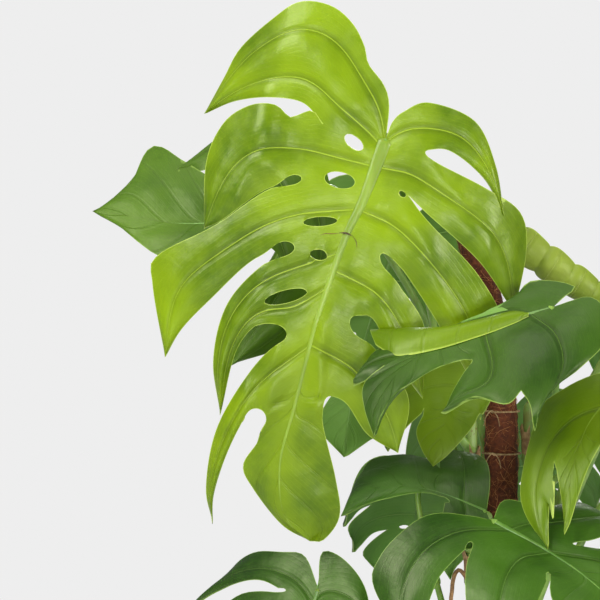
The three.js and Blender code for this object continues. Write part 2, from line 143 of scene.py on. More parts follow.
# %% Close a tube that was made from a grid: its seam, then its two ends
def close_tube(sides):
    bpy.ops.object.mode_set(mode="EDIT")
    bpy.ops.mesh.select_all(action="SELECT")
    bpy.ops.mesh.remove_doubles(threshold=1e-5)
    bpy.ops.mesh.fill_holes(sides=sides)
    bpy.ops.mesh.select_all(action="SELECT")
    bpy.ops.mesh.normals_make_consistent(inside=False)
    bpy.ops.object.mode_set(mode="OBJECT")


# %% Give an open sheet its thickness; back and rim say how far down its list their finishes are
def thicken(sheet, thickness, offset, smooth, back=0, rim=0):
    pick(sheet)
    wall = sheet.modifiers.new("wall", "SOLIDIFY")
    wall.thickness, wall.offset = thickness, offset
    wall.material_offset, wall.material_offset_rim = back, rim
    bpy.ops.object.modifier_apply(modifier="wall")
    bpy.ops.object.shade_smooth_by_angle(angle=math.radians(smooth))


def paint(piece, *finishes):
    for each in finishes:
        piece.data.materials.append(each)


# %% A smooth line through points, with evenly spaced stops
def smooth_line(points, count, even_pull=False):
    p = np.asarray(points, dtype=float)
    if len(p) == 2:
        return p[0] + (p[1] - p[0]) * np.linspace(0, 1, count + 1)[:, None]
    q = np.vstack([2 * p[0] - p[1], p, 2 * p[-1] - p[-2]])
    t = np.linspace(0, 1, 40, endpoint=False)[:, None]
    parts = []
    for k in range(len(p) - 1):
        a, b, c, d = q[k:k + 4]
        if even_pull:
            m0, m1 = (c - a) / 2, (d - b) / 2
        else:
            u, v, w = (max(np.linalg.norm(y - x), 1e-9) ** 0.5 for x, y in ((a, b), (b, c), (c, d)))
            m0 = v * ((b - a) / u - (c - a) / (u + v) + (c - b) / v)
            m1 = v * ((c - b) / v - (d - b) / (v + w) + (d - c) / w)
        parts.append((2 * t**3 - 3 * t**2 + 1) * b + (t**3 - 2 * t**2 + t) * m0
                     + (3 * t**2 - 2 * t**3) * c + (t**3 - t**2) * m1)
    line = np.vstack(parts + [p[-1:]])
    run = np.concatenate([[0], np.cumsum(np.linalg.norm(np.diff(line, axis=0), axis=1))])
    stops = np.linspace(0, run[-1], count + 1)
    return np.stack([np.interp(stops, run, line[:, k]) for k in range(line.shape[1])], axis=1)


# %% A round stem: a grid wrapped round a line, with its thickness given row by row
def wrap(name, line, radius, sides, across=(0.3, 1.0, 0.2)):
    """radius(u, angle) in metres, with u from 0 to 1 along the line; across is where angle 0 looks"""
    n = len(line)
    tangent = np.gradient(line, axis=0)
    tangent /= np.linalg.norm(tangent, axis=1)[:, None]
    side = np.empty_like(tangent)
    start = np.array(across, dtype=float)
    for k in range(n):
        start = start - tangent[k] * (start @ tangent[k])
        start = start / np.linalg.norm(start)
        side[k] = start
    up = np.cross(tangent, side)
    angle = np.linspace(0, 2 * np.pi, sides + 1)
    u = np.linspace(0, 1, n)
    r = np.broadcast_to(radius(u[:, None], angle[None, :]), (n, sides + 1))
    spots = (line[:, None, :] + side[:, None, :] * (r * np.cos(angle))[..., None]
             + up[:, None, :] * (r * np.sin(angle))[..., None])
    tube = lay_grid(name, spots)[0]
    close_tube(sides + 2)
    bpy.ops.object.shade_smooth_by_angle(angle=math.radians(55))
    return tube


# %% Hand a finished piece over: it rides on the root, and the solids it stands for are hidden
def hand_over(piece, finish, *nodes):
    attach(piece, "root")
    if nodes:
        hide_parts(*nodes)
    return piece


MM = 0.001
print("tools ready")

# %% [markdown]
# ## Finishes
# A living leaf is never one green. It has paler veins in shallow channels darkened with painted shade,
# a faint pattern of fine veins beside them, patches a little lighter or darker, a painted highlight along
# the rim, and a waxy gloss that breaks up over the veins. Each of these follows the leaf itself, so every
# blade keeps a few numbers at its points (how far it is to the vein, to the midrib and to the edge), and
# the material reads them. The marks that several materials share are node groups.

# %% Short ways to place nodes
def node(tree, kind, inputs=None, **settings):
    made = tree.nodes.new(kind)
    for key, value in settings.items():
        setattr(made, key, value)
    for key, value in (inputs or {}).items():
        if isinstance(value, bpy.types.NodeSocket):
            tree.links.new(value, made.inputs[key])
        else:
            made.inputs[key].default_value = value
    return made


def ease(tree, value, low, high, start=0.0, end=1.0):
    inputs = {"Value": value, "From Min": low, "From Max": high, "To Min": start, "To Max": end}
    return node(tree, "ShaderNodeMapRange", inputs, interpolation_type="SMOOTHSTEP").outputs["Result"]


def sums(tree, how, a, b=0.0):
    return node(tree, "ShaderNodeMath", {0: a, 1: b}, operation=how).outputs[0]


def times(tree, a, b):
    return sums(tree, "MULTIPLY", a, b)


def plus(tree, a, b):
    return sums(tree, "ADD", a, b)


def blend_colours(tree, amount, a, b, how="MIX"):
    inputs = {0: amount, 6: a, 7: b}
    return node(tree, "ShaderNodeMix", inputs, data_type="RGBA", blend_type=how).outputs[2]


def kept(tree, name):
    return node(tree, "ShaderNodeAttribute", attribute_name=name).outputs["Fac"]


def grain(tree, scale, detail=3.0, stretch=(1, 1, 1)):
    place = node(tree, "ShaderNodeTexCoord").outputs["Object"]
    if stretch != (1, 1, 1):
        place = node(tree, "ShaderNodeMapping", {"Vector": place, "Scale": stretch}).outputs[0]
    inputs = {"Vector": place, "Scale": scale, "Detail": detail}
    return node(tree, "ShaderNodeTexNoise", inputs).outputs["Fac"]


def effect(name, inputs, outputs):
    tree = bpy.data.node_groups.new(name, "ShaderNodeTree")
    for label, kind in inputs:
        tree.interface.new_socket(name=label, in_out="INPUT", socket_type=kind)
    for label, kind in outputs:
        tree.interface.new_socket(name=label, in_out="OUTPUT", socket_type=kind)
    return tree, node(tree, "NodeGroupInput").outputs, node(tree, "NodeGroupOutput")


COLOUR, NUMBER = "NodeSocketColor", "NodeSocketFloat"


def rgb(r, g, b):
    """a colour from its everyday 0 to 255 numbers"""
    parts = (v / 255 for v in (r, g, b))
    return tuple(v / 12.92 if v <= 0.04045 else ((v + 0.055) / 1.055) ** 2.4 for v in parts) + (1.0,)


# %% The marks of a leaf, shared by every leaf material
skin, given, out = effect(
    "leaf_skin",
    [("Deep", COLOUR), ("Light", COLOUR), ("Vein", COLOUR), ("Rim Highlight", COLOUR), ("Gloss", NUMBER)],
    [("Colour", COLOUR), ("Roughness", NUMBER), ("Height", NUMBER)])
vein_width, rib_gap, edge_gap = (kept(skin, n) for n in ("vein_width", "rib_gap", "edge_gap"))
# the phase is a whole number on a vein, so the way to the nearest whole number is the way to the vein
to_vein = sums(skin, "PINGPONG", kept(skin, "vein_phase"), 0.5)
vein_gap = times(skin, to_vein, kept(skin, "vein_pitch"))
patches = ease(skin, grain(skin, 7.0, 3.0), 0.34, 0.66)
close_patches = ease(skin, grain(skin, 70.0, 4.0), 0.3, 0.7)
body = blend_colours(skin, patches, given["Deep"], given["Light"])
body = blend_colours(skin, times(skin, close_patches, 0.22), body, given["Light"])
# fine veins run beside the main one, a few millimetres apart
step = plus(skin, times(skin, vein_gap, 1150.0), times(skin, grain(skin, 26.0), 5.0))
lines = ease(skin, sums(skin, "SINE", step), 0.72, 1.0)
body = blend_colours(skin, times(skin, lines, 0.05), body, given["Vein"])
# the vein itself is a thin pale line in a shallow channel, darkened with painted shade, and fades as it
# thins
ratio = sums(skin, "DIVIDE", vein_gap, vein_width)
fade = ease(skin, vein_width, 0.0004, 0.0013, 0.25, 1.0)
line = times(skin, ease(skin, ratio, 0.3, 1.0, 1.0, 0.0), fade)
groove_and_shade = times(skin, ease(skin, ratio, 0.9, 7.0, 1.0, 0.0), fade)
# painted shade: the colour is darkened towards the deep green in the vein's channel, while the same mask
# also dips the relief below
body = blend_colours(skin, times(skin, groove_and_shade, 0.30), body, given["Deep"], "MULTIPLY")
body = blend_colours(skin, times(skin, line, 0.75), body, given["Vein"])
by_rib = ease(skin, rib_gap, 0.004, 0.022, 0.45, 0.0)
body = blend_colours(skin, by_rib, body, given["Light"])
# painted highlight: a pale band along the blade's cut edges and hole rims, blended towards the rim colour
rim = ease(skin, edge_gap, 0.0001, 0.0011, 1.0, 0.0)
body = blend_colours(skin, times(skin, rim, 0.6), body, given["Rim Highlight"])
skin.links.new(body, out.inputs["Colour"])
dull = plus(skin, given["Gloss"], times(skin, close_patches, 0.07))
skin.links.new(plus(skin, dull, times(skin, patches, 0.05)), out.inputs["Roughness"])
swell = plus(skin, times(skin, groove_and_shade, -0.0011), times(skin, line, 0.0007))
swell = plus(skin, swell, times(skin, lines, -0.00005))
swell = plus(skin, swell, times(skin, grain(skin, 45.0, 3.0), 0.0011))
skin.links.new(swell, out.inputs["Height"])
print("leaf_skin:", len(skin.nodes), "nodes")


# %% A material with its principled shader and a bump
def finish(name, roughness=0.5, **values):
    material = bpy.data.materials.new(name)
    material.use_nodes = True
    tree = material.node_tree
    shader = tree.nodes["Principled BSDF"]
    for key, value in ({"Roughness": roughness} | values).items():
        shader.inputs[key.replace("_", " ")].default_value = value
    relief = node(tree, "ShaderNodeBump", {"Strength": 1.0, "Distance": 1.0})
    tree.links.new(relief.outputs[0], shader.inputs["Normal"])
    return material, tree, shader, relief


def marked_finish(name, group, given, roughness=0.5, **values):
    """a material whose colour, roughness and relief come from a shared group of marks"""
    material, tree, shader, relief = finish(name, roughness, **values)
    marks = node(tree, "ShaderNodeGroup", given, node_tree=group)
    for label, socket in (("Colour", shader.inputs["Base Color"]),
                          ("Roughness", shader.inputs["Roughness"]),
                          ("Height", relief.inputs["Height"])):
        if label in marks.outputs:
            tree.links.new(marks.outputs[label], socket)
    return material


# rim is the colour of the painted highlight along the edges
def leaf_finish(name, deep, light, vein, rim, gloss):
    given = {"Deep": rgb(*deep), "Light": rgb(*light), "Vein": rgb(*vein), "Rim Highlight": rgb(*rim), "Gloss": gloss}
    return marked_finish(name, skin, given, Subsurface_Weight=0.16, Subsurface_Scale=0.004,
                         Subsurface_Radius=(0.7, 1.0, 0.2), Specular_IOR_Level=0.4,
                         Specular_Tint=(0.95, 1.0, 0.62, 1))


# the colour of the painted highlight along the leaf edges
PALE_RIM_HIGHLIGHT = (176, 196, 86)
young_top = leaf_finish("young_leaf", (64, 92, 1), (117, 142, 2), (148, 172, 46), PALE_RIM_HIGHLIGHT, 0.30)
roll_top = leaf_finish("rolled_leaf", (88, 110, 20), (130, 146, 50), (160, 172, 88), PALE_RIM_HIGHLIGHT, 0.38)
young_under = leaf_finish("young_leaf_underside", (132, 160, 62), (150, 178, 74), (178, 200, 110),
                          PALE_RIM_HIGHLIGHT, 0.5)
fresh_top = leaf_finish("fresh_leaf", (70, 98, 3), (98, 124, 6), (130, 156, 48), PALE_RIM_HIGHLIGHT, 0.36)
mid_top = leaf_finish("mid_leaf", (50, 82, 6), (74, 106, 10), (100, 132, 38), (140, 168, 74), 0.42)
mid_under = leaf_finish("mid_leaf_underside", (92, 132, 54), (108, 146, 66), (150, 180, 100),
                        (160, 190, 90), 0.5)
soft_top = leaf_finish("soft_leaf", (28, 58, 4), (49, 82, 8), (74, 108, 24), (150, 176, 80), 0.40)
deep_top = leaf_finish("deep_leaf", (26, 55, 8), (52, 87, 15), (84, 120, 40), (130, 160, 70), 0.34)
deep_under = leaf_finish("deep_leaf_underside", (74, 116, 48), (92, 132, 58), (136, 168, 90),
                         (142, 176, 84), 0.5)


# %% Smooth green flesh: midribs, stalks and stems
flesh, given, out = effect(
    "green_flesh",
    [("Deep", COLOUR), ("Light", COLOUR), ("Mark", COLOUR), ("Marks", NUMBER)],
    [("Colour", COLOUR), ("Roughness", NUMBER), ("Height", NUMBER)])
long_grain = ease(flesh, grain(flesh, 40.0, 3.0, (1, 1, 0.12)), 0.3, 0.7)
speckle = ease(flesh, grain(flesh, 240.0, 2.0), 0.62, 0.70)
blotch = ease(flesh, grain(flesh, 22.0, 5.0), 0.56, 0.66)
spots = times(flesh, sums(flesh, "MAXIMUM", speckle, times(flesh, blotch, 0.6)), given["Marks"])
tone = blend_colours(flesh, long_grain, given["Deep"], given["Light"])
flesh.links.new(blend_colours(flesh, spots, tone, given["Mark"]), out.inputs["Colour"])
flesh.links.new(plus(flesh, times(flesh, spots, 0.3), 0.38), out.inputs["Roughness"])
ridges = times(flesh, long_grain, 0.0006)
flesh.links.new(plus(flesh, ridges, times(flesh, spots, -0.0003)), out.inputs["Height"])


def flesh_finish(name, deep, light, marks, mark=(112, 74, 40), through=0.1):
    given = {"Deep": rgb(*deep), "Light": rgb(*light), "Mark": rgb(*mark), "Marks": marks}
    return marked_finish(name, flesh, given, Subsurface_Weight=through, Subsurface_Scale=0.003)


young_rib = flesh_finish("young_midrib", (106, 132, 18), (126, 152, 38), 0.0)
mid_rib = flesh_finish("mid_midrib", (104, 146, 56), (132, 170, 84), 0.05)
deep_rib = flesh_finish("deep_midrib", (68, 106, 30), (98, 134, 54), 0.05)
stalk_skin = flesh_finish("stalk_skin", (94, 132, 44), (134, 166, 72), 0.25)
stem_skin = flesh_finish("stem_skin", (104, 134, 58), (146, 170, 92), 0.7)
dry_scar = flesh_finish("dry_scar", (66, 40, 18), (112, 74, 40), 0.8, (44, 30, 18), 0.0)
print("leaf and stem finishes ready")


# %% Dry, rough matter: coir, roots, twine, compost
dry, given, out = effect(
    "dry_matter",
    [("Dark", COLOUR), ("Light", COLOUR), ("Scale", NUMBER), ("Depth", NUMBER)],
    [("Colour", COLOUR), ("Height", NUMBER)])
place = node(dry, "ShaderNodeTexCoord").outputs["Object"]
rough_noise = {"Vector": place, "Scale": given["Scale"], "Detail": 6.0, "Roughness": 0.7}
coarse = node(dry, "ShaderNodeTexNoise", rough_noise).outputs["Fac"]
fleck = node(dry, "ShaderNodeTexVoronoi", {"Vector": place, "Scale": given["Scale"]}).outputs["Distance"]
tone = blend_colours(dry, ease(dry, coarse, 0.3, 0.72), given["Dark"], given["Light"])
pits = ease(dry, fleck, 0.1, 0.7, 0.35, 0.0)
dry.links.new(blend_colours(dry, pits, tone, given["Dark"]), out.inputs["Colour"])
dry.links.new(times(dry, plus(dry, coarse, fleck), given["Depth"]), out.inputs["Height"])


def dry_finish(name, dark, light, scale, depth, roughness=0.9):
    given = {"Dark": rgb(*dark), "Light": rgb(*light), "Scale": scale, "Depth": depth}
    return marked_finish(name, dry, given, roughness)


coir_mat = dry_finish("coir_mat", (68, 27, 8), (112, 55, 23), 160.0, 0.0012)
coir_strand = dry_finish("coir_strand", (128, 66, 30), (206, 142, 86), 90.0, 0.0004)
dry_root = dry_finish("dry_root", (92, 64, 38), (158, 122, 78), 120.0, 0.0006)
twine = dry_finish("twine", (120, 92, 58), (196, 168, 122), 260.0, 0.0005)
soil_dark = dry_finish("compost_bed", (30, 20, 13), (78, 54, 36), 110.0, 0.003)
soil_crumb = dry_finish("compost_crumb", (36, 24, 16), (104, 74, 48), 150.0, 0.001)
sheath_skin = dry_finish("dry_sheath", (104, 72, 42), (190, 156, 108), 70.0, 0.0006, 0.75)

# %% Moulded plastic for the pot
pot_finish, tree, shader, relief = finish("moulded_plastic", 0.42)
fine = grain(tree, 420.0, 2.0)
scuffs = ease(tree, grain(tree, 18.0, 6.0, (1, 1, 3)), 0.52, 0.72)
place = node(tree, "ShaderNodeTexCoord").outputs["Object"]
height = node(tree, "ShaderNodeSeparateXYZ", {0: place}).outputs[2]
dust = ease(tree, height, 0.0, 0.09, 0.35, 0.0)
tone = blend_colours(tree, scuffs, rgb(40, 41, 43), rgb(58, 59, 61))
tree.links.new(blend_colours(tree, dust, tone, rgb(96, 88, 76)), shader.inputs["Base Color"])
tree.links.new(plus(tree, times(tree, scuffs, 0.18), 0.36), shader.inputs["Roughness"])
tree.links.new(times(tree, fine, 0.00025), relief.inputs["Height"])
print("finishes:", len(bpy.data.materials))

# %% [markdown]
# ## The plan of a blade
# A monstera blade is a heart cut into lobes. Each lobe is a band between two edges, and the
# vein of the lobe runs down its middle, so the band's own rows and cells say where the vein
# is. Neighbouring lobes share the edge from the midrib to the bottom of the cut between them.
# Plans are written as [along the midrib, across it], in millimetres for the leaves that are
# drawn one by one, and as parts of the blade's length for those that grow from the heart.

# %% The heart outline and the leaves that follow it
RIGHT_LOBES = 100           # added to the number of every lobe on the right
END_VEINS = 4.2             # how many veins each side of an end lobe has
BLADE_THICK = 0.0009
HEART = smooth_line([[0, 0], [-0.12, 0.07], [-0.235, 0.20], [-0.20, 0.38], [-0.02, 0.49], [0.20, 0.52],
                     [0.42, 0.47], [0.64, 0.36], [0.84, 0.19], [1, 0]], 200, even_pull=True)


def along_list(line, x):
    k = min(max(x, 0), 1) * (len(line) - 1)
    i = min(int(k), len(line) - 2)
    return line[i] + (line[i + 1] - line[i]) * (k - i)


def lobe(over, under, tip, split, veins=1):
    return {"over": over, "under": under, "tip": tip, "split": split, "veins": veins}


def grown(n, seed):
    """the plan of a leaf with n cut lobes a side; the seed sets how its lobes differ"""
    breaks = [0.0] + [0.04 + 0.63 * (k / n) ** 1.25 for k in range(1, n + 1)]
    mouths = [0.0] + [0.32 + 0.61 * (k / (n + 0.35)) ** 0.95 for k in range(1, n + 1)]
    gap = 0.012

    def side(sign):
        wob = lambda k, f: math.sin(seed * 3.1 + k * 2.3 + sign * f)
        edge = lambda v: along_list(HEART, v) * np.array([1, sign])
        mouth = lambda k: mouths[k] + 0.012 * wob(k, 1) if k else 0.0
        lobes = []
        for k in range(n):
            v0, v1 = mouth(k), mouth(k + 1)
            start = np.array([breaks[k + 1], 0])
            split = start + (edge(v1) - start) * (0.5 + 0.08 * wob(k, 2)) - [0.02, 0]
            tip = split + (edge(v1 - gap) - split) * 1.1 + [0.035, 0]
            over = [edge(v0 + (v1 - v0) * x) for x in ([0.14, 0.42, 0.74] if k else [0.12, 0.3, 0.5, 0.75])]
            if k:
                over[0] = over[0] + (np.array([breaks[k], 0]) - over[0]) * 0.06
            under = (split + tip) / 2 - [0.045, 0.01 * sign]
            lobes.append(lobe(over, [under], tip, split))
        v0 = mouth(n)
        lobes.append({"over": [edge(v0 + gap + (1 - v0) * x) for x in (0.12, 0.4, 0.7)]})
        return lobes

    holes = []
    for sign in (-1, 1):
        for k in range(1, n):
            start = np.array([breaks[k + 1], 0])
            reach = side(sign)[k]["split"] - start
            angle = math.degrees(math.atan2(reach[1], reach[0]))
            if math.sin(seed * 5.0 + k * 1.7 + sign) > -0.45:
                holes.append((*(start + reach * 0.42), 0.19 * np.linalg.norm(reach), 0.017, angle))
    rib = [[0, 0], [0.5, 0.01 * math.sin(seed)], [1, 0]]
    plan = {"breaks": breaks, "rib": rib, "left": side(-1), "right": side(1)}
    return plan | {"holes": holes + cleft_ends(plan)}


# %% A cut between two lobes ends in a round bay, not in a point
def cleft_ends(plan):
    rib = smooth_line(plan["rib"], 100, even_pull=True)
    ends = []
    for side in (plan["left"], plan["right"]):
        for k, band in enumerate(side[:-1]):
            out_ward = np.array(band["split"]) - along_list(rib, plan["breaks"][k + 1])
            out_ward /= np.linalg.norm(out_ward)
            middle = np.array(band["split"]) + out_ward * 0.016
            ends.append((*middle, 0.028, 0.014, math.degrees(math.atan2(out_ward[1], out_ward[0]))))
    return ends


# %% The leaves that are drawn one by one
PLANS = {
    "leaf_1": {
        "breaks": [0, 0.03, 0.11, 0.24, 0.41, 0.60],
        "rib": [[0, 0], [76, -6], [124, -14], [222, -20], [334, -18], [404, -16], [464, 6], [486, 44]],
        "left": [
            lobe([[-38, -7], [-59, -19], [-78, -43], [-98, -54], [-120, -75], [-133, -105], [-128, -141],
                  [-101, -167], [-59, -195], [-19, -205]],
                 [[-14, -106], [-10, -144], [4, -184]], [28, -216], [4, -76], 2),
            lobe([[-8, -92], [2, -108], [6, -117], [-3, -136], [6, -166], [34, -190], [84, -197]],
                 [[98, -122], [142, -158]], [160, -178], [72, -82]),
            lobe([[98, -120], [152, -166], [206, -224], [240, -220]],
                 [[178, -110], [238, -148], [282, -172]], [320, -182], [152, -66]),
            lobe([[186, -102], [240, -128], [306, -126]], [[248, -82], [288, -102]], [368, -100],
                 [250, -50], 2),
            lobe([[308, -80], [384, -100], [456, -94]], [[362, -70], [410, -80], [464, -82]],
                 [498, -74], [348, -54]),
            {"over": [[382, -48], [418, -58], [442, -40], [476, 6]]},
        ],
        "right": [
            lobe([[-20, 2], [-36, 12], [-54, 38], [-48, 96], [-4, 134]], [[-6, 76], [14, 124]],
                 [50, 160], [4, 44]),
            lobe([[12, 66], [24, 128], [40, 178], [82, 198]], [[74, 74], [110, 146]], [156, 204], [58, 44]),
            lobe([[82, 76], [126, 150], [180, 196]], [[140, 56], [194, 120]], [242, 170], [132, 28]),
            lobe([[162, 62], [204, 106]], [[208, 42], [248, 80]], [284, 126], [214, 16]),
            lobe([[242, 56], [288, 110]], [[310, 36], [342, 74]], [354, 116], [316, 14]),
            {"over": [[344, 20], [402, 52], [446, 70], [480, 60]]},
        ],
        # holes: middle, half length, half width, turn in degrees from the midrib
        "holes": [(15, -35, 13, 7, 67), (62, -39, 18, 9.5, 94), (115, -48, 20, 5.5, -71),
                  (153, -39, 10.5, 6.2, 96),
                  (211, -63, 26, 7.5, -60), (58, 36, 5, 3.2, 70),
                  # and the rounded ends of the cuts between lobes
                  (77, -91, 13, 8, -74), (157, -80, 16, 10, -70), (256, -61, 14, 11, -74), (360, -58,
                                                                                            14, 13, -60),
                  (5, 52, 9, 4, 80), (140, 40, 16, 7.5, 50), (223, 29, 18, 9, 54), (321, 27, 17, 9, 60)],
        # raised folds: from, to, height, width
        "crests": [((-6, -146), (60, -128), 9, 20), ((196, -96), (320, -118), 6, 14),
                   ((330, -76), (470, -86), 5, 10), ((10, 60), (120, 170), 6, 24),
                   ((96, 62), (210, 158), 7, 20), ((180, 44), (270, 108), 6, 14),
                   ((-20, -60), (-90, -130), 7, 34), ((230, -14), (330, 10), 3, 9),
                   ((270, -60), (330, -50), 4, 12)],
        # falls: the lobe (100 more on the right), how far from the midrib it folds, and how steeply
        "falls": [(1, 128, -0.3), (1, 150, 0.5), (0, 150, 0.35), (101, 150, 0.35)],
    },
    "leaf_2": {
        "breaks": [0, 0.35], "rib": [[0, 0], [150, 18], [290, -46]],
        "left": [lobe([[0, -50], [22, -106], [68, -132]], [[132, -58]], [184, -68], [136, -38]),
                 {"over": [[168, -86], [198, -122], [238, -70]]}],
        "right": [lobe([[0, 70], [40, 154], [100, 196]], [[86, 88], [92, 106], [126, 135], [148, 161]],
                       [179, 204], [109, 52], 2),
                  {"over": [[150, 60], [193, 66], [233, 34], [262, -14]]}],
    },
    "leaf_3": {
        "breaks": [0, 0.2, 0.4], "rib": [[0, 0], [102, -26], [200, -38], [278, 8]],
        "left": [lobe([[-18, -3], [-41, -8], [-25, -35], [-5, -50], [20, -40], [44, -25], [81, -36],
                       [123, -58], [154, -98]], [[188, -92]], [172, -126], [148, -42]),
                 lobe([[190, -92], [218, -90]], [[228, -66]], [246, -74], [206, -58]),
                 {"over": [[236, -62], [258, -36]]}],
        "right": [lobe([[-20, 8], [-42, 18], [-40, 52], [-10, 82], [40, 94], [92, 98]],
                       [[118, 102]], [134, 130], [116, 82]),
                  lobe([[140, 84], [160, 52]], [[172, 26]], [204, 44], [126, 8]),
                  {"over": [[160, -10], [220, -18], [256, -6]]}],
        "holes": [(119, 85, 7, 4, 80), (131, 9, 8, 4, 40)],
    },
    "leaf_5": {
        "breaks": [0, 0.35], "rib": [[0, 0], [62, -16], [134, -8], [198, 6]],
        "left": [lobe([[-10, -28], [26, -68], [58, -88], [126, -78], [178, -60]],
                      [[186, -12], [156, -28]], [220, -8],
                      [126, -30]),
                 {"over": [[150, -16], [174, -4]]}],
        "right": [lobe([[-18, 16], [2, 62], [66, 78]], [[104, 50]], [156, 88], [84, 10]),
                  {"over": [[112, 6], [146, 6], [178, 8]]}],
    },
    "leaf_6": {
        "breaks": [0, 0.3], "rib": [[0, 0], [60, -52], [112, -74], [170, -44]],
        "left": [lobe([[-22, -46], [-34, -90], [-30, -130]], [[14, -116]], [-10, -150], [28, -84]),
                 {"over": [[30, -120], [44, -170], [90, -176], [146, -80]]}],
        "right": [lobe([[8, 30], [40, 50]], [[60, 0]], [88, 26], [42, -30]),
                  {"over": [[62, -46], [98, -52], [132, -52]]}],
    },
    "leaf_7": {
        "breaks": [0, 0.18, 0.4], "rib": [[0, 0], [76, 10], [154, 12], [272, -2]],
        "left": [lobe([[-36, -26], [-56, -48], [-66, -82], [-68, -124], [-54, -156]],
                      [[4, -96], [14, -138]], [12, -188],
                      [6, -40]),
                 lobe([[24, -76], [68, -122]], [[112, -48], [132, -104]], [130, -152], [98, -12]),
                 {"over": [[124, -40], [188, -66], [236, -50]]}],
        "right": [lobe([[-8, 32], [32, 56], [54, 108]], [[104, 72]], [108, 130], [88, 34]),
                  lobe([[116, 56], [148, 94]], [[192, 56]], [212, 82], [152, 40]),
                  {"over": [[202, 46], [250, 24]]}],
    },
    "leaf_8": {
        "breaks": [0, 0.18, 0.4], "rib": [[0, 0], [108, 6], [232, -4]],
        "left": [lobe([[-36, -32], [-34, -64], [-28, -112], [-2, -144]], [[6, -92]], [38, -184], [16, -34]),
                 lobe([[26, -98], [66, -130]], [[88, -80]], [128, -110], [68, -40]),
                 {"over": [[116, -60], [178, -34]]}],
        "right": [lobe([[-46, -12], [-42, 20], [-10, 60]], [[24, 52]], [58, 92], [44, 26]),
                  lobe([[56, 56], [102, 78]], [[112, 44]], [140, 72], [100, 14]),
                  {"over": [[138, 38], [176, 26]]}],
    },
    "leaf_9": {
        "breaks": [0, 0.4], "rib": [[0, 0], [60, -10], [130, -10]],
        "left": [lobe([[-6, -26], [16, -68], [42, -122], [74, -142]], [[94, -60]], [130, -78], [66, -40]),
                 {"over": [[94, -44], [116, -28]]}],
        "right": [lobe([[-2, 16], [8, 32], [28, 34]], [[57, 26]], [59, 29], [54, 26]),
                  {"over": [[70, 23], [92, 14], [114, 2]]}],
    },
}
print("drawn plans:", ", ".join(PLANS))


# %% A drawn plan as parts of the blade's length
def scaled(plan, length):
    small = lambda spots: [np.array(spot, dtype=float) / length for spot in spots]

    def small_lobe(band):
        if "tip" not in band:
            return {"over": small(band["over"])}
        tip, split = small([band["tip"], band["split"]])
        return lobe(small(band["over"]), small(band["under"]), tip, split, band["veins"])

    made = {"breaks": plan["breaks"], "rib": small(plan["rib"])}
    for side in ("left", "right"):
        made[side] = [small_lobe(band) for band in plan[side]]
    holes = [(x / length, y / length, a / length, b / length, turn) for x, y, a, b,
             turn in plan.get("holes", ())]
    return made | {"holes": holes or cleft_ends(made)}


# %% The net of each lobe, with the numbers its material reads
def cut_edge(foot, split, over, end, rows, shared):
    """along the line that two lobes share, and from its end on along a lobe's own edge"""
    own = smooth_line([split, *over, end], rows - shared, even_pull=True)
    return np.vstack([smooth_line([foot, split], shared)[:-1], own])


def lobe_nets(plan, rows, cells, shared, length):
    rib = smooth_line(plan["rib"], 100, even_pull=True)
    u = np.linspace(0, 1, rows + 1)[:, None]
    s = np.linspace(0, 1, cells + 1)[None, :]
    for side, first in (("left", 0), ("right", RIGHT_LOBES)):
        lobes = plan[side]
        for k, band in enumerate(lobes):
            last = k == len(lobes) - 1
            end = along_list(rib, 1) if last else band["tip"]
            start = along_list(rib, plan["breaks"][k])
            if k == 0:
                upper = smooth_line([start, *band["over"], end], rows, even_pull=True)
            else:
                upper = cut_edge(start, lobes[k - 1]["split"], band["over"], end, rows, shared)
            if last:
                lower = np.array([along_list(rib, plan["breaks"][k] + (1 - plan["breaks"][k]) * i / rows)
                                  for i in range(rows + 1)])
            else:
                foot = along_list(rib, plan["breaks"][k + 1])
                lower = cut_edge(foot, band["split"], band["under"], end, rows, shared)
            net = upper[:, None] * (1 - s[..., None]) + lower[:, None] * s[..., None]
            for turn in range(16):  # the rows between the edges relax, so that the vein runs without a kink
                net[1:-1, 1:-1] = (0.38 * (net[:-2, 1:-1] + net[2:, 1:-1])
                                   + 0.12 * (net[1:-1, :-2] + net[1:-1, 2:]))
            if last:
                # the end lobe's lower edge is the midrib, and its veins branch off it one after another
                phase = END_VEINS * (u - 0.42 * (1 - s) ** 0.8 - 0.07)
                pitch = 0.7 * length * (1 - plan["breaks"][k]) / END_VEINS
                vein = (0.0009 - 0.0006 * u) * (0.4 + 0.6 * s)
                free = np.clip((u - shared / rows) * 3, 0, 1) * (1 - s) ** 2 * 0.7
            else:
                phase = band["veins"] * s - 0.5
                pitch = np.linalg.norm(upper - lower, axis=1)[:, None] * length / band["veins"]
                vein = np.minimum(0.0016 - 0.0010 * u, 0.10 * pitch + 5e-5)
                free = np.clip((u - shared / rows) * 2.2, 0, 1) * (2 * np.abs(s - 0.5)) ** 2
            numbers = {"vein_gap": np.abs(phase - np.rint(phase)) * pitch, "free": free, "lobe": first + k}
            corner_numbers = {"vein_phase": phase, "vein_pitch": pitch,
                              "vein_width": vein * min(1, length / 0.35)}
            yield net, numbers, corner_numbers


# %% The blade in space: the midrib arches back and the sides fall away from it
def unit(v):
    return np.array(v, dtype=float) / np.linalg.norm(v)


def blade_frame(leaf):
    t = unit(leaf["along"])
    n = np.array(leaf["face"], dtype=float)
    n = unit(n - t * (n @ t))
    return t, n, np.cross(n, t)


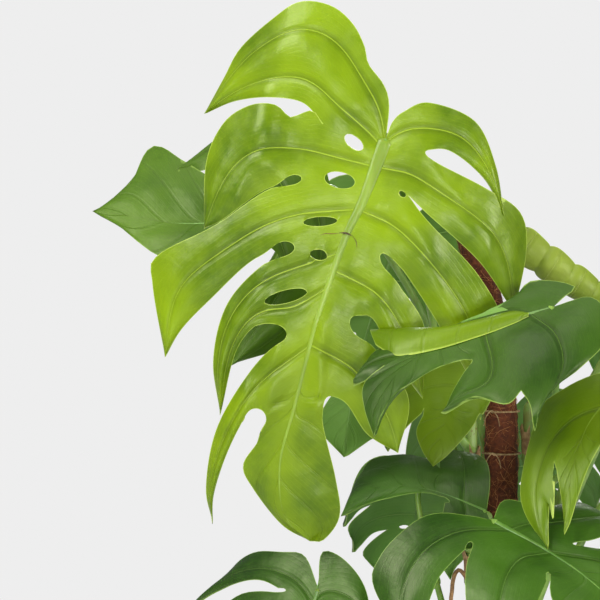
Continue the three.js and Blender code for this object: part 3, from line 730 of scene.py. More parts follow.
def draper(leaf):
    t, n, s = blade_frame(leaf)
    base, length = np.array(leaf["base"]) * MM, leaf["length"] * MM
    arch, droop, fold = leaf.get("arch", 40), leaf.get("droop", 50), leaf.get("fold", 15)
    parts = 24

    def put(a, r):
        a, r = np.asarray(a, dtype=float)[..., None], np.asarray(r, dtype=float)[..., None]
        if leaf.get("hangs"):
            h = -0.22 * np.maximum(0, a - 0.1) ** 2 - 0.28 * r * r
            return base + (t * a + s * r + n * h) * length
        p = base + 0 * a * t
        bend = np.where(a >= 0, arch * a * a, 0)
        for i in range(parts):
            q = np.radians(np.where(a >= 0, arch * (a * (i + 0.5) / parts) ** 2, 0))
            p = p + (t * np.cos(q) - n * np.sin(q)) * a * length / parts
        up = n * np.cos(np.radians(bend)) + t * np.sin(np.radians(bend))
        w = np.abs(r)
        for i in range(parts):
            x = w * (i + 0.5) / parts
            q = np.radians(fold - droop * np.minimum(x / 0.5, 1.3) ** 1.3)
            p = p + (s * np.sign(r) * np.cos(q) + up * np.sin(q)) * w * length / parts
        return p

    return put


def facing(put, a, r):
    """the way the blade faces at a place in its plan"""
    step = 0.004
    da = put(np.asarray(a) + step, r) - put(np.asarray(a) - step, r)
    dr = put(a, np.asarray(r) + step) - put(a, np.asarray(r) - step)
    n = np.cross(da, dr)
    return n / np.linalg.norm(n, axis=-1, keepdims=True)


# %% Cut the holes of a flat plan and round their edges
def to_hole(co, hole):
    x, y, a, b, turn = hole
    c, s = math.cos(math.radians(turn)), math.sin(math.radians(turn))
    dx, dy = co[:, 0] - x, co[:, 1] - y
    return (dx * c + dy * s) / a, (-dx * s + dy * c) / b


def border_of(mesh):
    """which points lie on an open edge, and those edges"""
    count = np.zeros(len(mesh.edges), dtype=int)
    loops = np.empty(len(mesh.loops), dtype=np.int32)
    mesh.loops.foreach_get("edge_index", loops)
    np.add.at(count, loops, 1)
    ends = np.empty(len(mesh.edges) * 2, dtype=np.int32)
    mesh.edges.foreach_get("vertices", ends)
    edges = ends.reshape(-1, 2)[count == 1]
    border = np.zeros(len(mesh.vertices), dtype=bool)
    border[edges.ravel()] = True
    return border, edges


def pick_only(piece, faces):
    """selects these faces and nothing else, and goes into edit mode"""
    pick(piece)
    mesh = piece.data
    bpy.context.tool_settings.mesh_select_mode = (False, False, True)
    for what in (mesh.vertices, mesh.edges):
        what.foreach_set("select", np.zeros(len(what), dtype=bool))
    mesh.polygons.foreach_set("select", faces)
    bpy.ops.object.mode_set(mode="EDIT")


def delete_faces(sheet, faces):
    pick_only(sheet, faces)
    bpy.ops.mesh.delete(type="FACE")
    bpy.ops.object.mode_set(mode="OBJECT")


def face_gap(mesh, hole):
    """how far each face is from the hole's middle, with 1 on the hole's edge, squared"""
    p, q = to_hole(np.array([f.center[:] for f in mesh.polygons]), hole)
    return p * p + q * q


def even_angles(angle):
    """sorted angles round a whole turn, moved until they are evenly spaced"""
    for turn in range(12):
        ahead, behind = np.roll(angle, -1), np.roll(angle, 1)
        ahead[-1] += 2 * np.pi
        behind[0] -= 2 * np.pi
        angle = (ahead + behind) / 2
    return angle


def smooth_border(sheet, co, near):
    edges = border_of(sheet.data)[1]
    for turn in range(10):
        total, count = np.zeros_like(co), np.zeros(len(co))
        for here, there in ((0, 1), (1, 0)):
            np.add.at(total, edges[:, here], co[edges[:, there]])
            np.add.at(count, edges[:, here], 1)
        co[near] = 0.5 * co[near] + 0.5 * total[near] / np.maximum(count[near], 1)[:, None]


def cut_hole(sheet, hole):
    x, y, a, b, turn = hole
    mesh = sheet.data
    keep_number(sheet, "old_border", border_of(mesh)[0])
    inside = face_gap(mesh, hole) < 1
    if not inside.any():
        return
    for again in range(3):  # the faces inside, then any that would hang on by a corner
        delete_faces(sheet, inside)
        border = border_of(mesh)[0]
        hanging = np.array([border[list(f.vertices)].all() for f in mesh.polygons])
        inside = (face_gap(mesh, hole) < 2.6) & hanging
        if not inside.any():
            break
    co = points_of(sheet)
    old = np.array([d.value for d in mesh.attributes["old_border"].data]) > 0.5
    p, q = to_hole(co, hole)
    rho = np.maximum(np.hypot(p, q), 1e-6)
    border = border_of(mesh)[0]
    ring = border & (~old | (rho < 1)) & (rho < 2.2)
    crowded = ~border & (rho < 1.25)
    new = np.where(ring, 1.0, np.maximum(rho, 1.13)) / rho
    whole = not (ring & old).any() and ring.sum() > 5
    if whole:  # a hole all round, and not the bay at the end of a cut
        order = np.flatnonzero(ring)[np.argsort(np.arctan2(q[ring], p[ring]))]
        angle = even_angles(np.arctan2(q[order], p[order]))
        p[order], q[order], new[order] = np.cos(angle), np.sin(angle), 1.0
    c, s = math.cos(math.radians(turn)), math.sin(math.radians(turn))
    p, q = p * new * a, q * new * b
    moved = ring | crowded
    co[moved, 0] = (x + p * c - q * s)[moved]
    co[moved, 1] = (y + p * s + q * c)[moved]
    if not whole:  # the bay's edge runs on smoothly into the edges of the cut
        smooth_border(sheet, co, border & (rho < 1.9))
    put_points(sheet, co)


# %% Waves and folds of a blade, in metres off its smooth sheet
def wave(points, size, shift):
    away = Vector((shift, 0.7 * shift, 0))
    return np.array([noise.noise(Vector(p) / size + away) for p in points])


def nearest(points):
    """a finder of the nearest of these points"""
    tree = kdtree.KDTree(len(points))
    for k, p in enumerate(points):
        tree.insert(p, k)
    tree.balance()
    return lambda spot: tree.find(spot)[1:]


def line_gap(co, a, b):
    a, b = np.array(a, dtype=float), np.array(b, dtype=float)
    along = np.clip(((co - a) @ (b - a)) / ((b - a) @ (b - a)), 0, 1)
    return np.linalg.norm(co - a - along[:, None] * (b - a), axis=1)


# %% A blade's flat sheet, with its numbers
def flat_sheet(leaf, plan, length):
    lobes = []
    for net, numbers, corner_numbers in lobe_nets(plan, *leaf.get("net", (30, 10, 10)), length):
        band, i, j = lay_grid(leaf["name"], np.dstack([net, np.zeros(net.shape[:2])]))
        at_points = lambda values: np.broadcast_to(values, net.shape[:2])[i, j]
        for label, values in numbers.items():
            keep_number(band, label, at_points(values))
        for label, values in corner_numbers.items():
            keep_corner_number(band, label, at_points(values))
        if sum(f.normal.z * f.area for f in band.data.polygons) < 0:
            band.data.flip_normals()
        lobes.append(band)
    sheet = join(lobes, merge=2e-5)
    for hole in plan["holes"]:
        cut_hole(sheet, hole)
    return sheet


def gap_to_edge(co, edges):
    """how far each point of a flat sheet is from the nearest third of an open edge"""
    thirds = [(*(co[p] + (co[q] - co[p]) * m / 3), 0) for p, q in edges for m in range(3)]
    find = nearest(thirds)
    return np.array([find((x, y, 0))[1] for x, y in co])


# %% How far a blade stands off its smooth sheet
def lift_of(leaf, drawn, sheet, space, mm, rib_gap):
    get = lambda label: np.array([d.value for d in sheet.data.attributes[label].data])
    free, k = get("free"), min(1.0, leaf["length"] / 330)
    quilt = 0.0030 * k * (1 - np.exp(-(get("vein_gap") / 0.011) ** 2))
    quilt *= 1 - np.exp(-(rib_gap / 0.016) ** 2)
    lift = quilt * (1 - free) - 0.008 * k * free
    lift += 0.005 * k * wave(space, 0.075, leaf["seed"]) * np.clip(rib_gap / 0.05, 0, 1)
    lift += 0.0016 * k * wave(space, 0.026, 5.0) * np.clip(rib_gap / 0.02, 0, 1)
    for p, q, height, width in drawn.get("crests", ()):
        lift += height * MM * np.exp(-(line_gap(mm, p, q) / width) ** 2)
    for number, start, fall in drawn.get("falls", ()):
        past = np.maximum(np.abs(mm[:, 1]) - start, 0)
        lift -= np.where(get("lobe") == number, fall * past * MM, 0)
    return lift


# %% The midrib: round below, flatter on the face, and thin at the tip
def midrib(leaf, rib, put, space, lift, rib_skin):
    length = leaf["length"] * MM
    thick, thin = leaf.get("rib", (0.011 * length, 0.002 * length))
    stops = rib[:155]  # it fades out just before the tip
    on, normal = put(stops[:, 0], stops[:, 1]), facing(put, stops[:, 0], stops[:, 1])
    find = nearest(space)
    on = on + normal * (np.array([lift[find(p)[0]] for p in on]) - 0.0003)[:, None]
    side = np.cross(normal, np.gradient(on, axis=0))
    side /= np.linalg.norm(side, axis=1)[:, None]
    u = np.linspace(0, 1, len(on))[:, None]
    w = thin + (thick - thin) * (0.62 * (1 - u) ** 1.1 + 0.38 * np.exp(-(u / 0.16) ** 2))
    w = w * np.sqrt(np.clip(1 - (1 - u / 0.012) ** 2, 0.05, 1) * (u < 0.012) + (u >= 0.012))
    turn = np.linspace(0, 2 * np.pi, 13)[None, :]
    tall = np.where(np.sin(turn) > 0, leaf.get("rib_up", 0.30), 0.75)
    spots = (on[:, None] + side[:, None] * (w * np.cos(turn))[..., None]
             + normal[:, None] * (w * tall * np.sin(turn))[..., None])
    spine = lay_grid(leaf["name"] + "_midrib", spots)[0]
    close_tube(16)
    bpy.ops.object.shade_smooth()
    paint(spine, rib_skin)
    return spine


# %% Make one blade
def make_blade(leaf, top, under, rib_skin):
    length = leaf["length"] * MM
    drawn = PLANS.get(leaf["name"], {})
    plan = scaled(drawn, leaf["length"]) if drawn else grown(leaf["n"], leaf["seed"])
    sheet = flat_sheet(leaf, plan, length)
    co = points_of(sheet)[:, :2]
    rib = smooth_line(plan["rib"], 160, even_pull=True)
    rib_gap = np.sqrt(((co[:, None] - rib[None]) ** 2).sum(-1)).min(1) * length
    keep_number(sheet, "rib_gap", rib_gap)
    keep_number(sheet, "edge_gap", gap_to_edge(co, border_of(sheet.data)[1]) * length)
    put = draper(leaf)
    space, normal = put(co[:, 0], co[:, 1]), facing(put, co[:, 0], co[:, 1])
    lift = lift_of(leaf, drawn, sheet, space, co * leaf["length"], rib_gap)
    if leaf.get("hangs"):
        normal = normal * 0 + blade_frame(leaf)[1]
    put_points(sheet, space + normal * lift[:, None])
    paint(sheet, top, under, top)
    thicken(sheet, BLADE_THICK, -1.0, 60, back=1)
    blade = join([sheet, midrib(leaf, rib, put, space, lift, rib_skin)])
    blade.name = blade.data.name = leaf["name"] + "_blade"
    return blade, put, (space, lift)

# %% [markdown]
# ## The leaves
# Each blade has its own base, the way its midrib runs and the way it faces. The big young
# leaf of the front hangs straight down with its face to the front. The others arch over.

# %% Where every leaf is
LEAVES = [
    {"name": "leaf_1", "tone": "young", "base": [-149, -230, 1115], "along": [-0.27, 0, -0.96],
     "face": [0, -1, 0],
     "length": 520, "hangs": True, "net": (52, 16, 18), "rib": (0.0086, 0.0008), "rib_up": 0.30, "seed": 1},
    {"name": "leaf_2", "tone": "mid", "base": [-213, -60, 1066], "along": [-0.93, -0.15, -0.2],
     "face": [-0.2, -0.85, 0.45], "length": 300, "droop": 35, "arch": 15, "fold": 10, "seed": 2},
    {"name": "leaf_3", "tone": "soft", "rib": (0.0034, 0.0006), "rib_up": 0.12, "base": [46, -242, 917],
     "along": [-0.80, -0.42, -0.42],
     "face": [-0.18, -0.72, 0.66], "length": 300, "droop": 40, "arch": 30, "fold": 5, "seed": 3},
    {"name": "leaf_5", "tone": "fresh", "base": [128, -230, 825], "along": [-0.45, -0.42, -0.79],
     "face": [-0.35, -0.80, 0.50], "length": 220, "droop": 35, "arch": 30, "fold": 5, "seed": 5},
    {"name": "leaf_6", "tone": "deep", "base": [-27, -170, 673], "along": [-0.93, -0.3, -0.15],
     "face": [-0.1, -0.75, 0.66], "length": 200, "droop": 30, "arch": 20, "fold": 5, "seed": 6},
    {"name": "leaf_7", "tone": "deep", "base": [-25, -250, 668], "along": [0.72, -0.45, -0.5],
     "face": [0.05, -0.75, 0.66], "length": 280, "droop": 35, "arch": 25, "fold": 5, "seed": 7},
    {"name": "leaf_8", "tone": "deep", "base": [-228, -150, 579], "along": [-0.35, -0.42, -0.84],
     "face": [-0.25, -0.8, 0.55], "length": 250, "droop": 30, "arch": 35, "fold": 5, "seed": 8},
    {"name": "leaf_9", "tone": "fresh", "base": [-39, -110, 842], "along": [-0.35, -0.25, -0.9],
     "face": [-0.25, -0.9, 0.35], "length": 150, "droop": 30, "arch": 25, "fold": 5, "seed": 9},
    {"name": "leaf_10", "tone": "mid", "base": [295, -80, 1080], "along": [0.62, -0.35, -0.7],
     "face": [0.25, -0.8, 0.55], "length": 330, "n": 4, "droop": 55, "arch": 45, "seed": 10},
    {"name": "leaf_11", "tone": "deep", "base": [275, -110, 780], "along": [0.75, -0.35, -0.56],
     "face": [0.4, -0.5, 0.78], "length": 310, "n": 4, "droop": 65, "arch": 45, "seed": 11},
    {"name": "leaf_12", "tone": "deep", "base": [250, 160, 900], "along": [0.6, 0.5, -0.62],
     "face": [0.3, 0.6, 0.75], "length": 320, "n": 4, "droop": 60, "arch": 45, "seed": 12},
    {"name": "leaf_13", "tone": "mid", "base": [-120, 170, 1010], "along": [-0.25, 0.6, -0.76],
     "face": [-0.1, 0.75, 0.65], "length": 340, "n": 4, "droop": 55, "arch": 45, "seed": 13},
    {"name": "leaf_14", "tone": "deep", "base": [-98, 118, 690], "along": [0.0, 0.72, -0.7],
     "face": [-0.05, 0.7, 0.71], "length": 200, "n": 3, "droop": 60, "arch": 45, "seed": 14},
    {"name": "leaf_15", "tone": "deep", "base": [20, 220, 760], "along": [0.1, 0.75, -0.65],
     "face": [0.05, 0.55, 0.83], "length": 290, "n": 3, "droop": 65, "arch": 45, "seed": 15},
    {"name": "leaf_16", "tone": "deep", "base": [220, 60, 600], "along": [0.85, 0.2, -0.5],
     "face": [0.45, 0.1, 0.88], "length": 260, "n": 3, "droop": 60, "arch": 45, "seed": 16},
    {"name": "leaf_17", "tone": "deep", "base": [30, -250, 400], "along": [0.2, -0.75, -0.62],
     "face": [0.1, -0.5, 0.86], "length": 210, "n": 2, "droop": 55, "arch": 45, "seed": 17},
    {"name": "leaf_18", "tone": "deep", "base": [-150, 130, 500], "along": [-0.7, 0.45, -0.55],
     "face": [-0.4, 0.4, 0.8], "length": 230, "n": 2, "droop": 55, "arch": 45, "seed": 18},
]
TONES = {
    "young": (young_top, young_under, young_rib, "young_leaf"),
    "fresh": (fresh_top, young_under, young_rib, "young_leaf"),
    "soft": (soft_top, mid_under, deep_rib, "deep_leaf"),
    "mid": (mid_top, mid_under, mid_rib, "mid_leaf"),
    "deep": (deep_top, deep_under, deep_rib, "deep_leaf"),
}

# %% Make every blade
blades = {}
for leaf in LEAVES:
    top, under, rib_skin, finish_slot = TONES[leaf["tone"]]
    blade, put, sheet = make_blade(leaf, top, under, rib_skin)
    blades[leaf["name"]] = (hand_over(blade, finish_slot, leaf["name"]), put, sheet)
    print(leaf["name"], len(blade.data.polygons), "faces")

# %% The margin of one leaf's left side, curled forward over the blade
put = blades["leaf_3"][1]
high_edge = smooth_line([(173, -136), (163, -112), (153, -97), (123, -58), (81, -36), (44, -23),
                         (30, -8)], 90, even_pull=True)
low_edge = smooth_line([(190, -98), (190, -72), (183, -54), (145, -30), (98, -14), (59, -6),
                        (34, -4)], 90, even_pull=True)
u = np.linspace(0, 1, 91)[:, None]
v = np.linspace(0, 1, 17)[None, :]
plan = (high_edge[:, None] * (1 - v[..., None]) + low_edge[:, None] * v[..., None]) / 300
spots = put(plan[..., 0], plan[..., 1])
bulge = 2 + 8 * np.sin(np.pi * np.clip(0.15 + 0.8 * u, 0, 1))
bulge = bulge * np.sin(np.pi * np.clip(v * 1.05, 0, 1)) ** 0.75 + 1.0
spots = spots + facing(put, plan[..., 0], plan[..., 1]) * (bulge * MM)[..., None]
curl, i, j = lay_grid("leaf_3_margin", spots)
keep_number(curl, "vein_phase", i / 90 * 5 + 0.3 * j / 16)
keep_number(curl, "vein_pitch", np.full(len(i), 0.03))
keep_number(curl, "vein_width", np.full(len(i), 0.0003))
keep_number(curl, "rib_gap", np.full(len(i), 0.02))
keep_number(curl, "edge_gap", np.minimum(np.minimum(j, 16 - j) * 0.0009, np.minimum(i, 90 - i) * 0.002))
paint(curl, fresh_top, young_under, young_rib)
thicken(curl, BLADE_THICK, -1, 60, rim=2)
hand_over(curl, "young_leaf")
print("margin:", len(curl.data.polygons), "faces")

# %% The old tear across the big leaf's midrib, healed to a thin brown line
blade, put, (space, lift) = blades["leaf_1"]
find = nearest(space)
front = blade_frame(LEAVES[0])[1]
tears = []
for path, thick, high in (([(131, -44), (127, -38), (125, -30), (122, -22)], 0.35, 0.1),
                          ([(122, -23), (120, -15), (121, -7)], 0.9, 2.1),
                          ([(121, -7), (125, -2), (130, 1), (134, 2)], 0.35, 0.1)):
    line = smooth_line(path, 24) / 520
    on = put(line[:, 0], line[:, 1])
    on = on + front * (np.array([lift[find(p)[0]] for p in on]) + high * MM)[:, None]
    tear = wrap("tear", on, lambda u, a: (thick * np.sin(np.pi * np.clip(u, 0.08, 0.92)) + 0.06) * MM, 8)
    paint(tear, dry_scar)
    tears.append(tear)
scar = join(tears)
scar.name = "leaf_1_scar"
hand_over(scar, "young_leaf")

# %% [markdown]
# ## Stalks
# A stalk rises from its stem with a groove along its inner side, the last of the sheath that
# once wrapped the next leaf. It ends in a short swelling, the knee, just under the blade. It
# could be a plain tube, but the groove and the knee are what make it read as a monstera.

# %% The path of every stalk
STALKS = {
    "leaf_1": [[-48, -30, 640], [-82, -30, 880], [-125, -185, 1040]],
    "leaf_2": [[-50, 0, 700], [-84, 20, 880], [-175, -10, 1030]],
    "leaf_3": [[44, -40, 620], [60, -90, 780], [52, -198, 890]],
    "leaf_5": [[48, -26, 560], [90, -80, 690], [128, -180, 800]],
    "leaf_6": [[0, -50, 480], [-4, -80, 590], [-22, -135, 655]],
    "leaf_7": [[20, -50, 400], [20, -110, 520], [-18, -205, 635]],
    "leaf_8": [[-50, -24, 330], [-110, -60, 460], [-200, -120, 555]],
    "leaf_9": [[-52, -24, 760], [-50, -50, 800], [-38, -86, 832]],
    "leaf_10": [[48, -20, 700], [130, -40, 860], [265, -62, 1050]],
    "leaf_11": [[56, -10, 520], [130, -40, 680], [235, -92, 755]],
    "leaf_12": [[40, 32, 600], [120, 80, 760], [225, 138, 872]],
    "leaf_13": [[-4, 52, 690], [-44, 80, 840], [-112, 142, 982]],
    "leaf_14": [[-50, 20, 480], [-80, 60, 580], [-98, 98, 664]],
    "leaf_15": [[10, 52, 500], [15, 110, 640], [20, 190, 735]],
    "leaf_16": [[56, 14, 380], [120, 35, 500], [190, 55, 580]],
    "leaf_17": [[16, -52, 290], [25, -120, 350], [30, -215, 380]],
    "leaf_18": [[-46, 40, 290], [-80, 75, 400], [-125, 110, 475]],
}


STEM_PATHS = {
    "stem_1": [[-30, -40, 120], [-34, -32, 260], [-36, -22, 480], [-36, -16, 780]],
    "stem_2": [[34, -38, 120], [36, -26, 260], [36, -14, 480], [36, -8, 800]],
    "stem_3": [[4, 44, 120], [2, 38, 260], [0, 36, 480], [-4, 37, 740]],
}
stem_lines = {name: smooth_line(path, 120) for name, path in STEM_PATHS.items()}


def on_nearest_stem(spot):
    """the point inside the nearest stem, a little lower, where a stalk springs from"""
    best = min((line for line in stem_lines.values()), key=lambda l: np.linalg.norm(l - spot, axis=1).min())
    low = spot - np.array([0, 0, 26])
    return best[np.linalg.norm(best - low, axis=1).argmin()]


# %% Make every stalk
def stalk_thickness(thick, thin):
    def radius(u, angle):
        r = thick + (thin - thick) * u ** 0.8
        r = r * (1 + 0.55 * np.exp(-(u / 0.05) ** 2))
        r = r * (1 + 0.22 * np.exp(-((u - 0.93) / 0.035) ** 2))
        groove = np.exp(-((angle - np.pi) / 0.5) ** 2) * np.clip((0.75 - u) / 0.3, 0.15, 1)
        return r * (1 - 0.42 * groove) * MM
    return radius


for leaf in LEAVES:
    t, n, s = blade_frame(leaf)
    base = np.array(leaf["base"], dtype=float)
    path = [np.array(p, dtype=float) for p in STALKS[leaf["name"]]]
    path = [on_nearest_stem(path[0])] + path + [base - n * 7 - t * 3, base - n * 0.5 + t * 5]
    line = smooth_line(path, 60)
    away = np.array([path[1][0], path[1][1], 0]) + [0.01, 0.02, 0]
    thin = 4.0 if leaf["length"] > 250 else 3.2
    stalk = wrap(leaf["name"] + "_petiole", line * MM, stalk_thickness(6.2, thin), 16, away)
    paint(stalk, stalk_skin)
    hand_over(stalk, "stalk_green", leaf["name"] + "_stalk")
print("stalks:", len(LEAVES))

# %% [markdown]
# ## Stems
# The stems climb the pole. Every few centimetres there is a node: a swollen ring with the
# brown scar of a leaf that was there. A tube with a wavy thickness gives the swelling, and
# papery brown sheaths and scars are laid over it.

# %% Stems with their nodes
def node_rings(seed):
    marks = [0.06 + 0.105 * k + 0.018 * math.sin(seed + 2.1 * k) for k in range(9)]

    def radius(u, angle):
        r = 9.2 - 2.0 * u
        for m in marks:
            r = r + 1.9 * np.exp(-((u - m) / 0.008) ** 2) + 0.9 * np.exp(-((u - m - 0.02) / 0.02) ** 2)
        r = r + 0.35 * np.sin(3 * angle + 9 * u) + 0.0 * angle
        return r * (1 - 0.9 * np.clip((u - 0.985) / 0.015, 0, 1) ** 2) * MM
    return radius, marks


for number, (name, path) in enumerate(STEM_PATHS.items()):
    line = smooth_line(path, 260) * MM
    radius, marks = node_rings(number * 1.7)
    stem = wrap(name + "_cane", line, radius, 20)
    paint(stem, stem_skin)
    parts = [stem]
    for k, m in enumerate(marks):
        at = int(m * 260)
        ring_r = (9.2 - 2.0 * m + 2.05) * MM
        ring = wrap("scar", line[at - 1:at + 2], lambda u, a: ring_r * (1 - 0.12 * (2 * u - 1) ** 2), 20)
        paint(ring, dry_scar)
        parts.append(ring)
        if k % 2 == 0 and at + 26 < 260:
            # a papery sheath, split down one side and standing a little off the stem
            span = line[at:at + 20]
            rnd = random.Random(number * 50 + k)
            u = np.linspace(0, 1, len(span))[:, None]
            opening = rnd.uniform(0, 6.28)
            angle = np.linspace(opening, opening + 4.4, 13)[None, :]
            r = (10.4 - 2.0 * m + 2.4 * u + 0.5 * np.sin(angle * 5 + 7 * u)) * MM
            tangent = unit(span[-1] - span[0])
            e1 = unit(np.cross(tangent, [0.2, 1, 0.1]))
            e2 = np.cross(tangent, e1)
            cut = 1 - 0.35 * np.abs(np.sin(angle * 2.3)) * u
            spots = (span[0] + (span - span[0])[:, None] * cut[..., None]
                     + e1 * (r * np.cos(angle))[..., None] + e2 * (r * np.sin(angle))[..., None])
            flap, i, j = lay_grid("sheath", spots)
            wall = flap.modifiers.new("wall", "SOLIDIFY")
            wall.thickness, wall.offset = 0.0005, 0
            bpy.ops.object.modifier_apply(modifier="wall")
            bpy.ops.object.shade_smooth_by_angle(angle=math.radians(50))
            paint(flap, sheath_skin)
            parts.append(flap)
    whole = join(parts)
    whole.name = name + "_cane"
    hand_over(whole, "stem_green", name)
print("stems:", len(STEM_PATHS))

# %% Roots that hang in the air
AIR_ROOTS = {
    "air_root_1": [[-56, -40, 590], [-66, -54, 500], [-60, -50, 400], [-72, -64, 300], [-76, -70, 242]],
    "air_root_2": [[52, -44, 540], [66, -52, 440], [58, -70, 330], [72, -84, 242]],
    "air_root_3": [[8, 58, 430], [-6, 74, 340], [6, 86, 242]],
}
def root_thickness(u, a):
    r = 2.7 - 1.0 * u + 0.3 * np.sin(60 * u + a) * np.sin(23 * u)
    return r * MM * (1 - 0.6 * (u > 0.995))


for name, path in AIR_ROOTS.items():
    path = [on_nearest_stem(np.array(path[0], dtype=float))] + path + [np.array(path[-1]) + [0, 0, -14]]
    line = smooth_line(path, 110) * MM
    wobble = np.array([noise.noise_vector(Vector(p) * 60) for p in line]) * 0.0022
    root = wrap(name + "_cord", line + wobble, root_thickness, 10)
    paint(root, dry_root)
    hand_over(root, "bark_brown", name)

# %% [markdown]
# ## The coir pole
# The pole is a stake wrapped in coconut fibre. A bump alone looks like felt, so the core is
# roughened and hundreds of thin strands are laid over it, some of them standing off. A
# strand is a curve with a round section, turned into a mesh with only a few faces.

# %% The core
POLE_PATH = [[0, 0, 45], [0, 0, 500], [0, 0, 790], [-12, 4, 890], [-38, 6, 1030]]
POLE_R = 22
pole_line = smooth_line(POLE_PATH, 300) * MM


def core_thickness(u, a):
    r = POLE_R - 1.6 + 0.5 * np.sin(7 * a + 40 * u) + 0.5 * np.sin(90 * u - 3 * a)
    return r * MM * (1 - 0.25 * np.clip((u - 0.99) / 0.01, 0, 1))


core = wrap("pole_core", pole_line, core_thickness, 36)
paint(core, coir_mat)
co = points_of(core)
rough = np.array([noise.noise(Vector(p) * 190) for p in co]) * 0.0011
axis = pole_line[np.abs(pole_line[None, :, 2] - co[:, None, 2]).argmin(1)]
out_ward = co - axis
out_ward[:, 2] = 0
out_ward /= np.maximum(np.linalg.norm(out_ward, axis=1), 1e-6)[:, None]
put_points(core, co + out_ward * rough[:, None])

# %% The strands
chance = random.Random(7)
clear_selection()
bpy.ops.curve.primitive_nurbs_path_add()
strands = bpy.context.object
strands.name = "pole_strands"
strands.data.splines.clear()
strands.data.dimensions, strands.data.bevel_depth, strands.data.bevel_resolution = "3D", 1.0, 0
strands.data.use_fill_caps = True
for k in range(1500):
    spline = strands.data.splines.new("POLY")
    count = 6
    spline.points.add(count - 1)
    z, a = chance.uniform(0.002, 0.985), chance.uniform(0, 2 * math.pi)
    rise, spin = chance.gauss(0, 0.016), chance.gauss(0, 0.75)
    lift, thick = abs(chance.gauss(0, 1.0)), chance.uniform(0.16, 0.36)
    stray = chance.random() < 0.09
    for m in range(count):
        f = m / (count - 1)
        here = along_list(pole_line, z + rise * f)
        turn = a + spin * f + 0.10 * math.sin(5 * f + k)
        high = POLE_R - 0.9 + lift * math.sin(math.pi * f) + 0.3 * math.sin(9 * f + k)
        if stray:
            high += 5.0 * f * f
        spline.points[m].co = (here[0] + math.cos(turn) * high * MM, here[1] + math.sin(turn) * high * MM,
                               here[2] + 0.0012 * math.sin(7 * f + 2 * k), 1)
        spline.points[m].radius = thick * MM * (1 - 0.5 * f)
pick(strands)
bpy.ops.object.convert(target="MESH")
strands = bpy.context.object
strands.data.materials.clear()
paint(strands, coir_strand)
bpy.ops.object.shade_smooth()
pole = join([core, strands])
pole.name = pole.data.name = "pole_of_coir"
hand_over(pole, "coir", "coir_pole")
print("pole:", len(pole.data.polygons), "faces")

# %% Twine round the pole: two turns and a knot with loose ends
for name, z in {"pole_tie_1": 732, "pole_tie_2": 787, "pole_tie_3": 610}.items():
    here = pole_line[np.abs(pole_line[:, 2] - z * MM).argmin()]
    turns = []
    for k in range(81):
        a = 4 * math.pi * k / 80
        turns.append([here[0] + (POLE_R + 2.1 + 0.15 * math.sin(9 * a)) * MM * math.cos(a + 4.2),
                      here[1] + (POLE_R + 2.1 + 0.15 * math.cos(7 * a)) * MM * math.sin(a + 4.2),
                      here[2] + (2.2 * k / 80 - 1.1 + 0.5 * math.sin(a * 1.5)) * MM])
    band = wrap("band", np.array(turns), lambda u, a: (0.85 + 0.12 * np.sin(3 * a + 160 * u)) * MM, 8)
    ends = []
    for side in (-1, 1):
        start = here + np.array([math.cos(4.2), math.sin(4.2), 0]) * (POLE_R + 2.6) * MM
        tail = smooth_line([start - [0.003 * side, 0, 0], start + [0.001 * side, -0.0028, 0.001],
                            start + [0.007 * side, -0.003, -0.006], start + [0.010 * side, -0.002,
                                                                             -0.018]], 16)
        ends.append(wrap("end", tail, lambda u, a: (0.8 - 0.3 * u + 0.1 * np.sin(3 * a + 60 * u)) * MM, 8))
    tie = join([band] + ends)
    tie.name = name + "_twine"
    paint(tie, twine)
    hand_over(tie, "bark_brown", name)

# %% [markdown]
# ## The unfurling leaf
# A new leaf comes out rolled up like a cigar and then loosens from its tip. It is made as
# one sheet that winds round the leaf's own axis, with the lobes already showing as swellings
# between waists. A plain cone would have no edge, and the edge of the roll is what shows.

# %% The roll
ROLL = [[222, -104, 872], [165, -112, 900], [100, -118, 936], [50, -121, 970], [16, -118, 996]]
roll_line = smooth_line(ROLL, 160) * MM
tangent = np.gradient(roll_line, axis=0)
tangent /= np.linalg.norm(tangent, axis=1)[:, None]
e1 = np.cross(tangent, [0, 0, 1.0])
e1 /= np.linalg.norm(e1, axis=1)[:, None]
e2 = np.cross(tangent, e1)
u = np.linspace(0, 1, 161)[:, None]
wind = np.linspace(0, 1, 49)[None, :]
turn = 2 * math.pi * (0.15 + (1.55 - 0.25 * u) * wind) + 1.2 * u
beat = u * 6.8 + 0.35 * wind + 0.08
beat = beat - np.floor(beat)
swell = 0.88 + 0.30 * np.sqrt(beat) * (1 - beat ** 6) - 0.3 * np.exp(-(u / 0.10) ** 2)
r = (12 + 13.5 * u) * swell * (0.40 + 0.62 * wind) * MM
slip = (wind - 0.5) * 0.020 * (0.3 + u)
spots = (roll_line[:, None] + e1[:, None] * (r * np.cos(turn))[..., None]
         + e2[:, None] * (r * np.sin(turn))[..., None]
         + tangent[:, None] * slip[..., None])
roll, i, j = lay_grid("unfurling_leaf", spots)
keep_number(roll, "vein_phase", i / 160 * 6.8 + 0.35 * j / 48 + 0.5)
keep_number(roll, "vein_pitch", np.full(len(i), 0.036))
keep_number(roll, "vein_width", np.full(len(i), 0.0007))
keep_number(roll, "rib_gap", np.minimum(j, 48 - j) * 0.002 + 0.004)
keep_number(roll, "edge_gap", np.minimum(np.minimum(j, 48 - j) * 0.0022, np.minimum(i, 160 - i) * 0.0012))
paint(roll, roll_top, roll_top, young_rib)
thicken(roll, BLADE_THICK, 0, 60, rim=2)
hand_over(roll, "young_leaf", "rolled_leaf")
line = smooth_line([on_nearest_stem(np.array([54, -22, 690])), [54, -22, 690], [120, -62, 750],
                    [224, -100, 848],
                    [226, -103, 868], [204, -107, 882]], 60) * MM
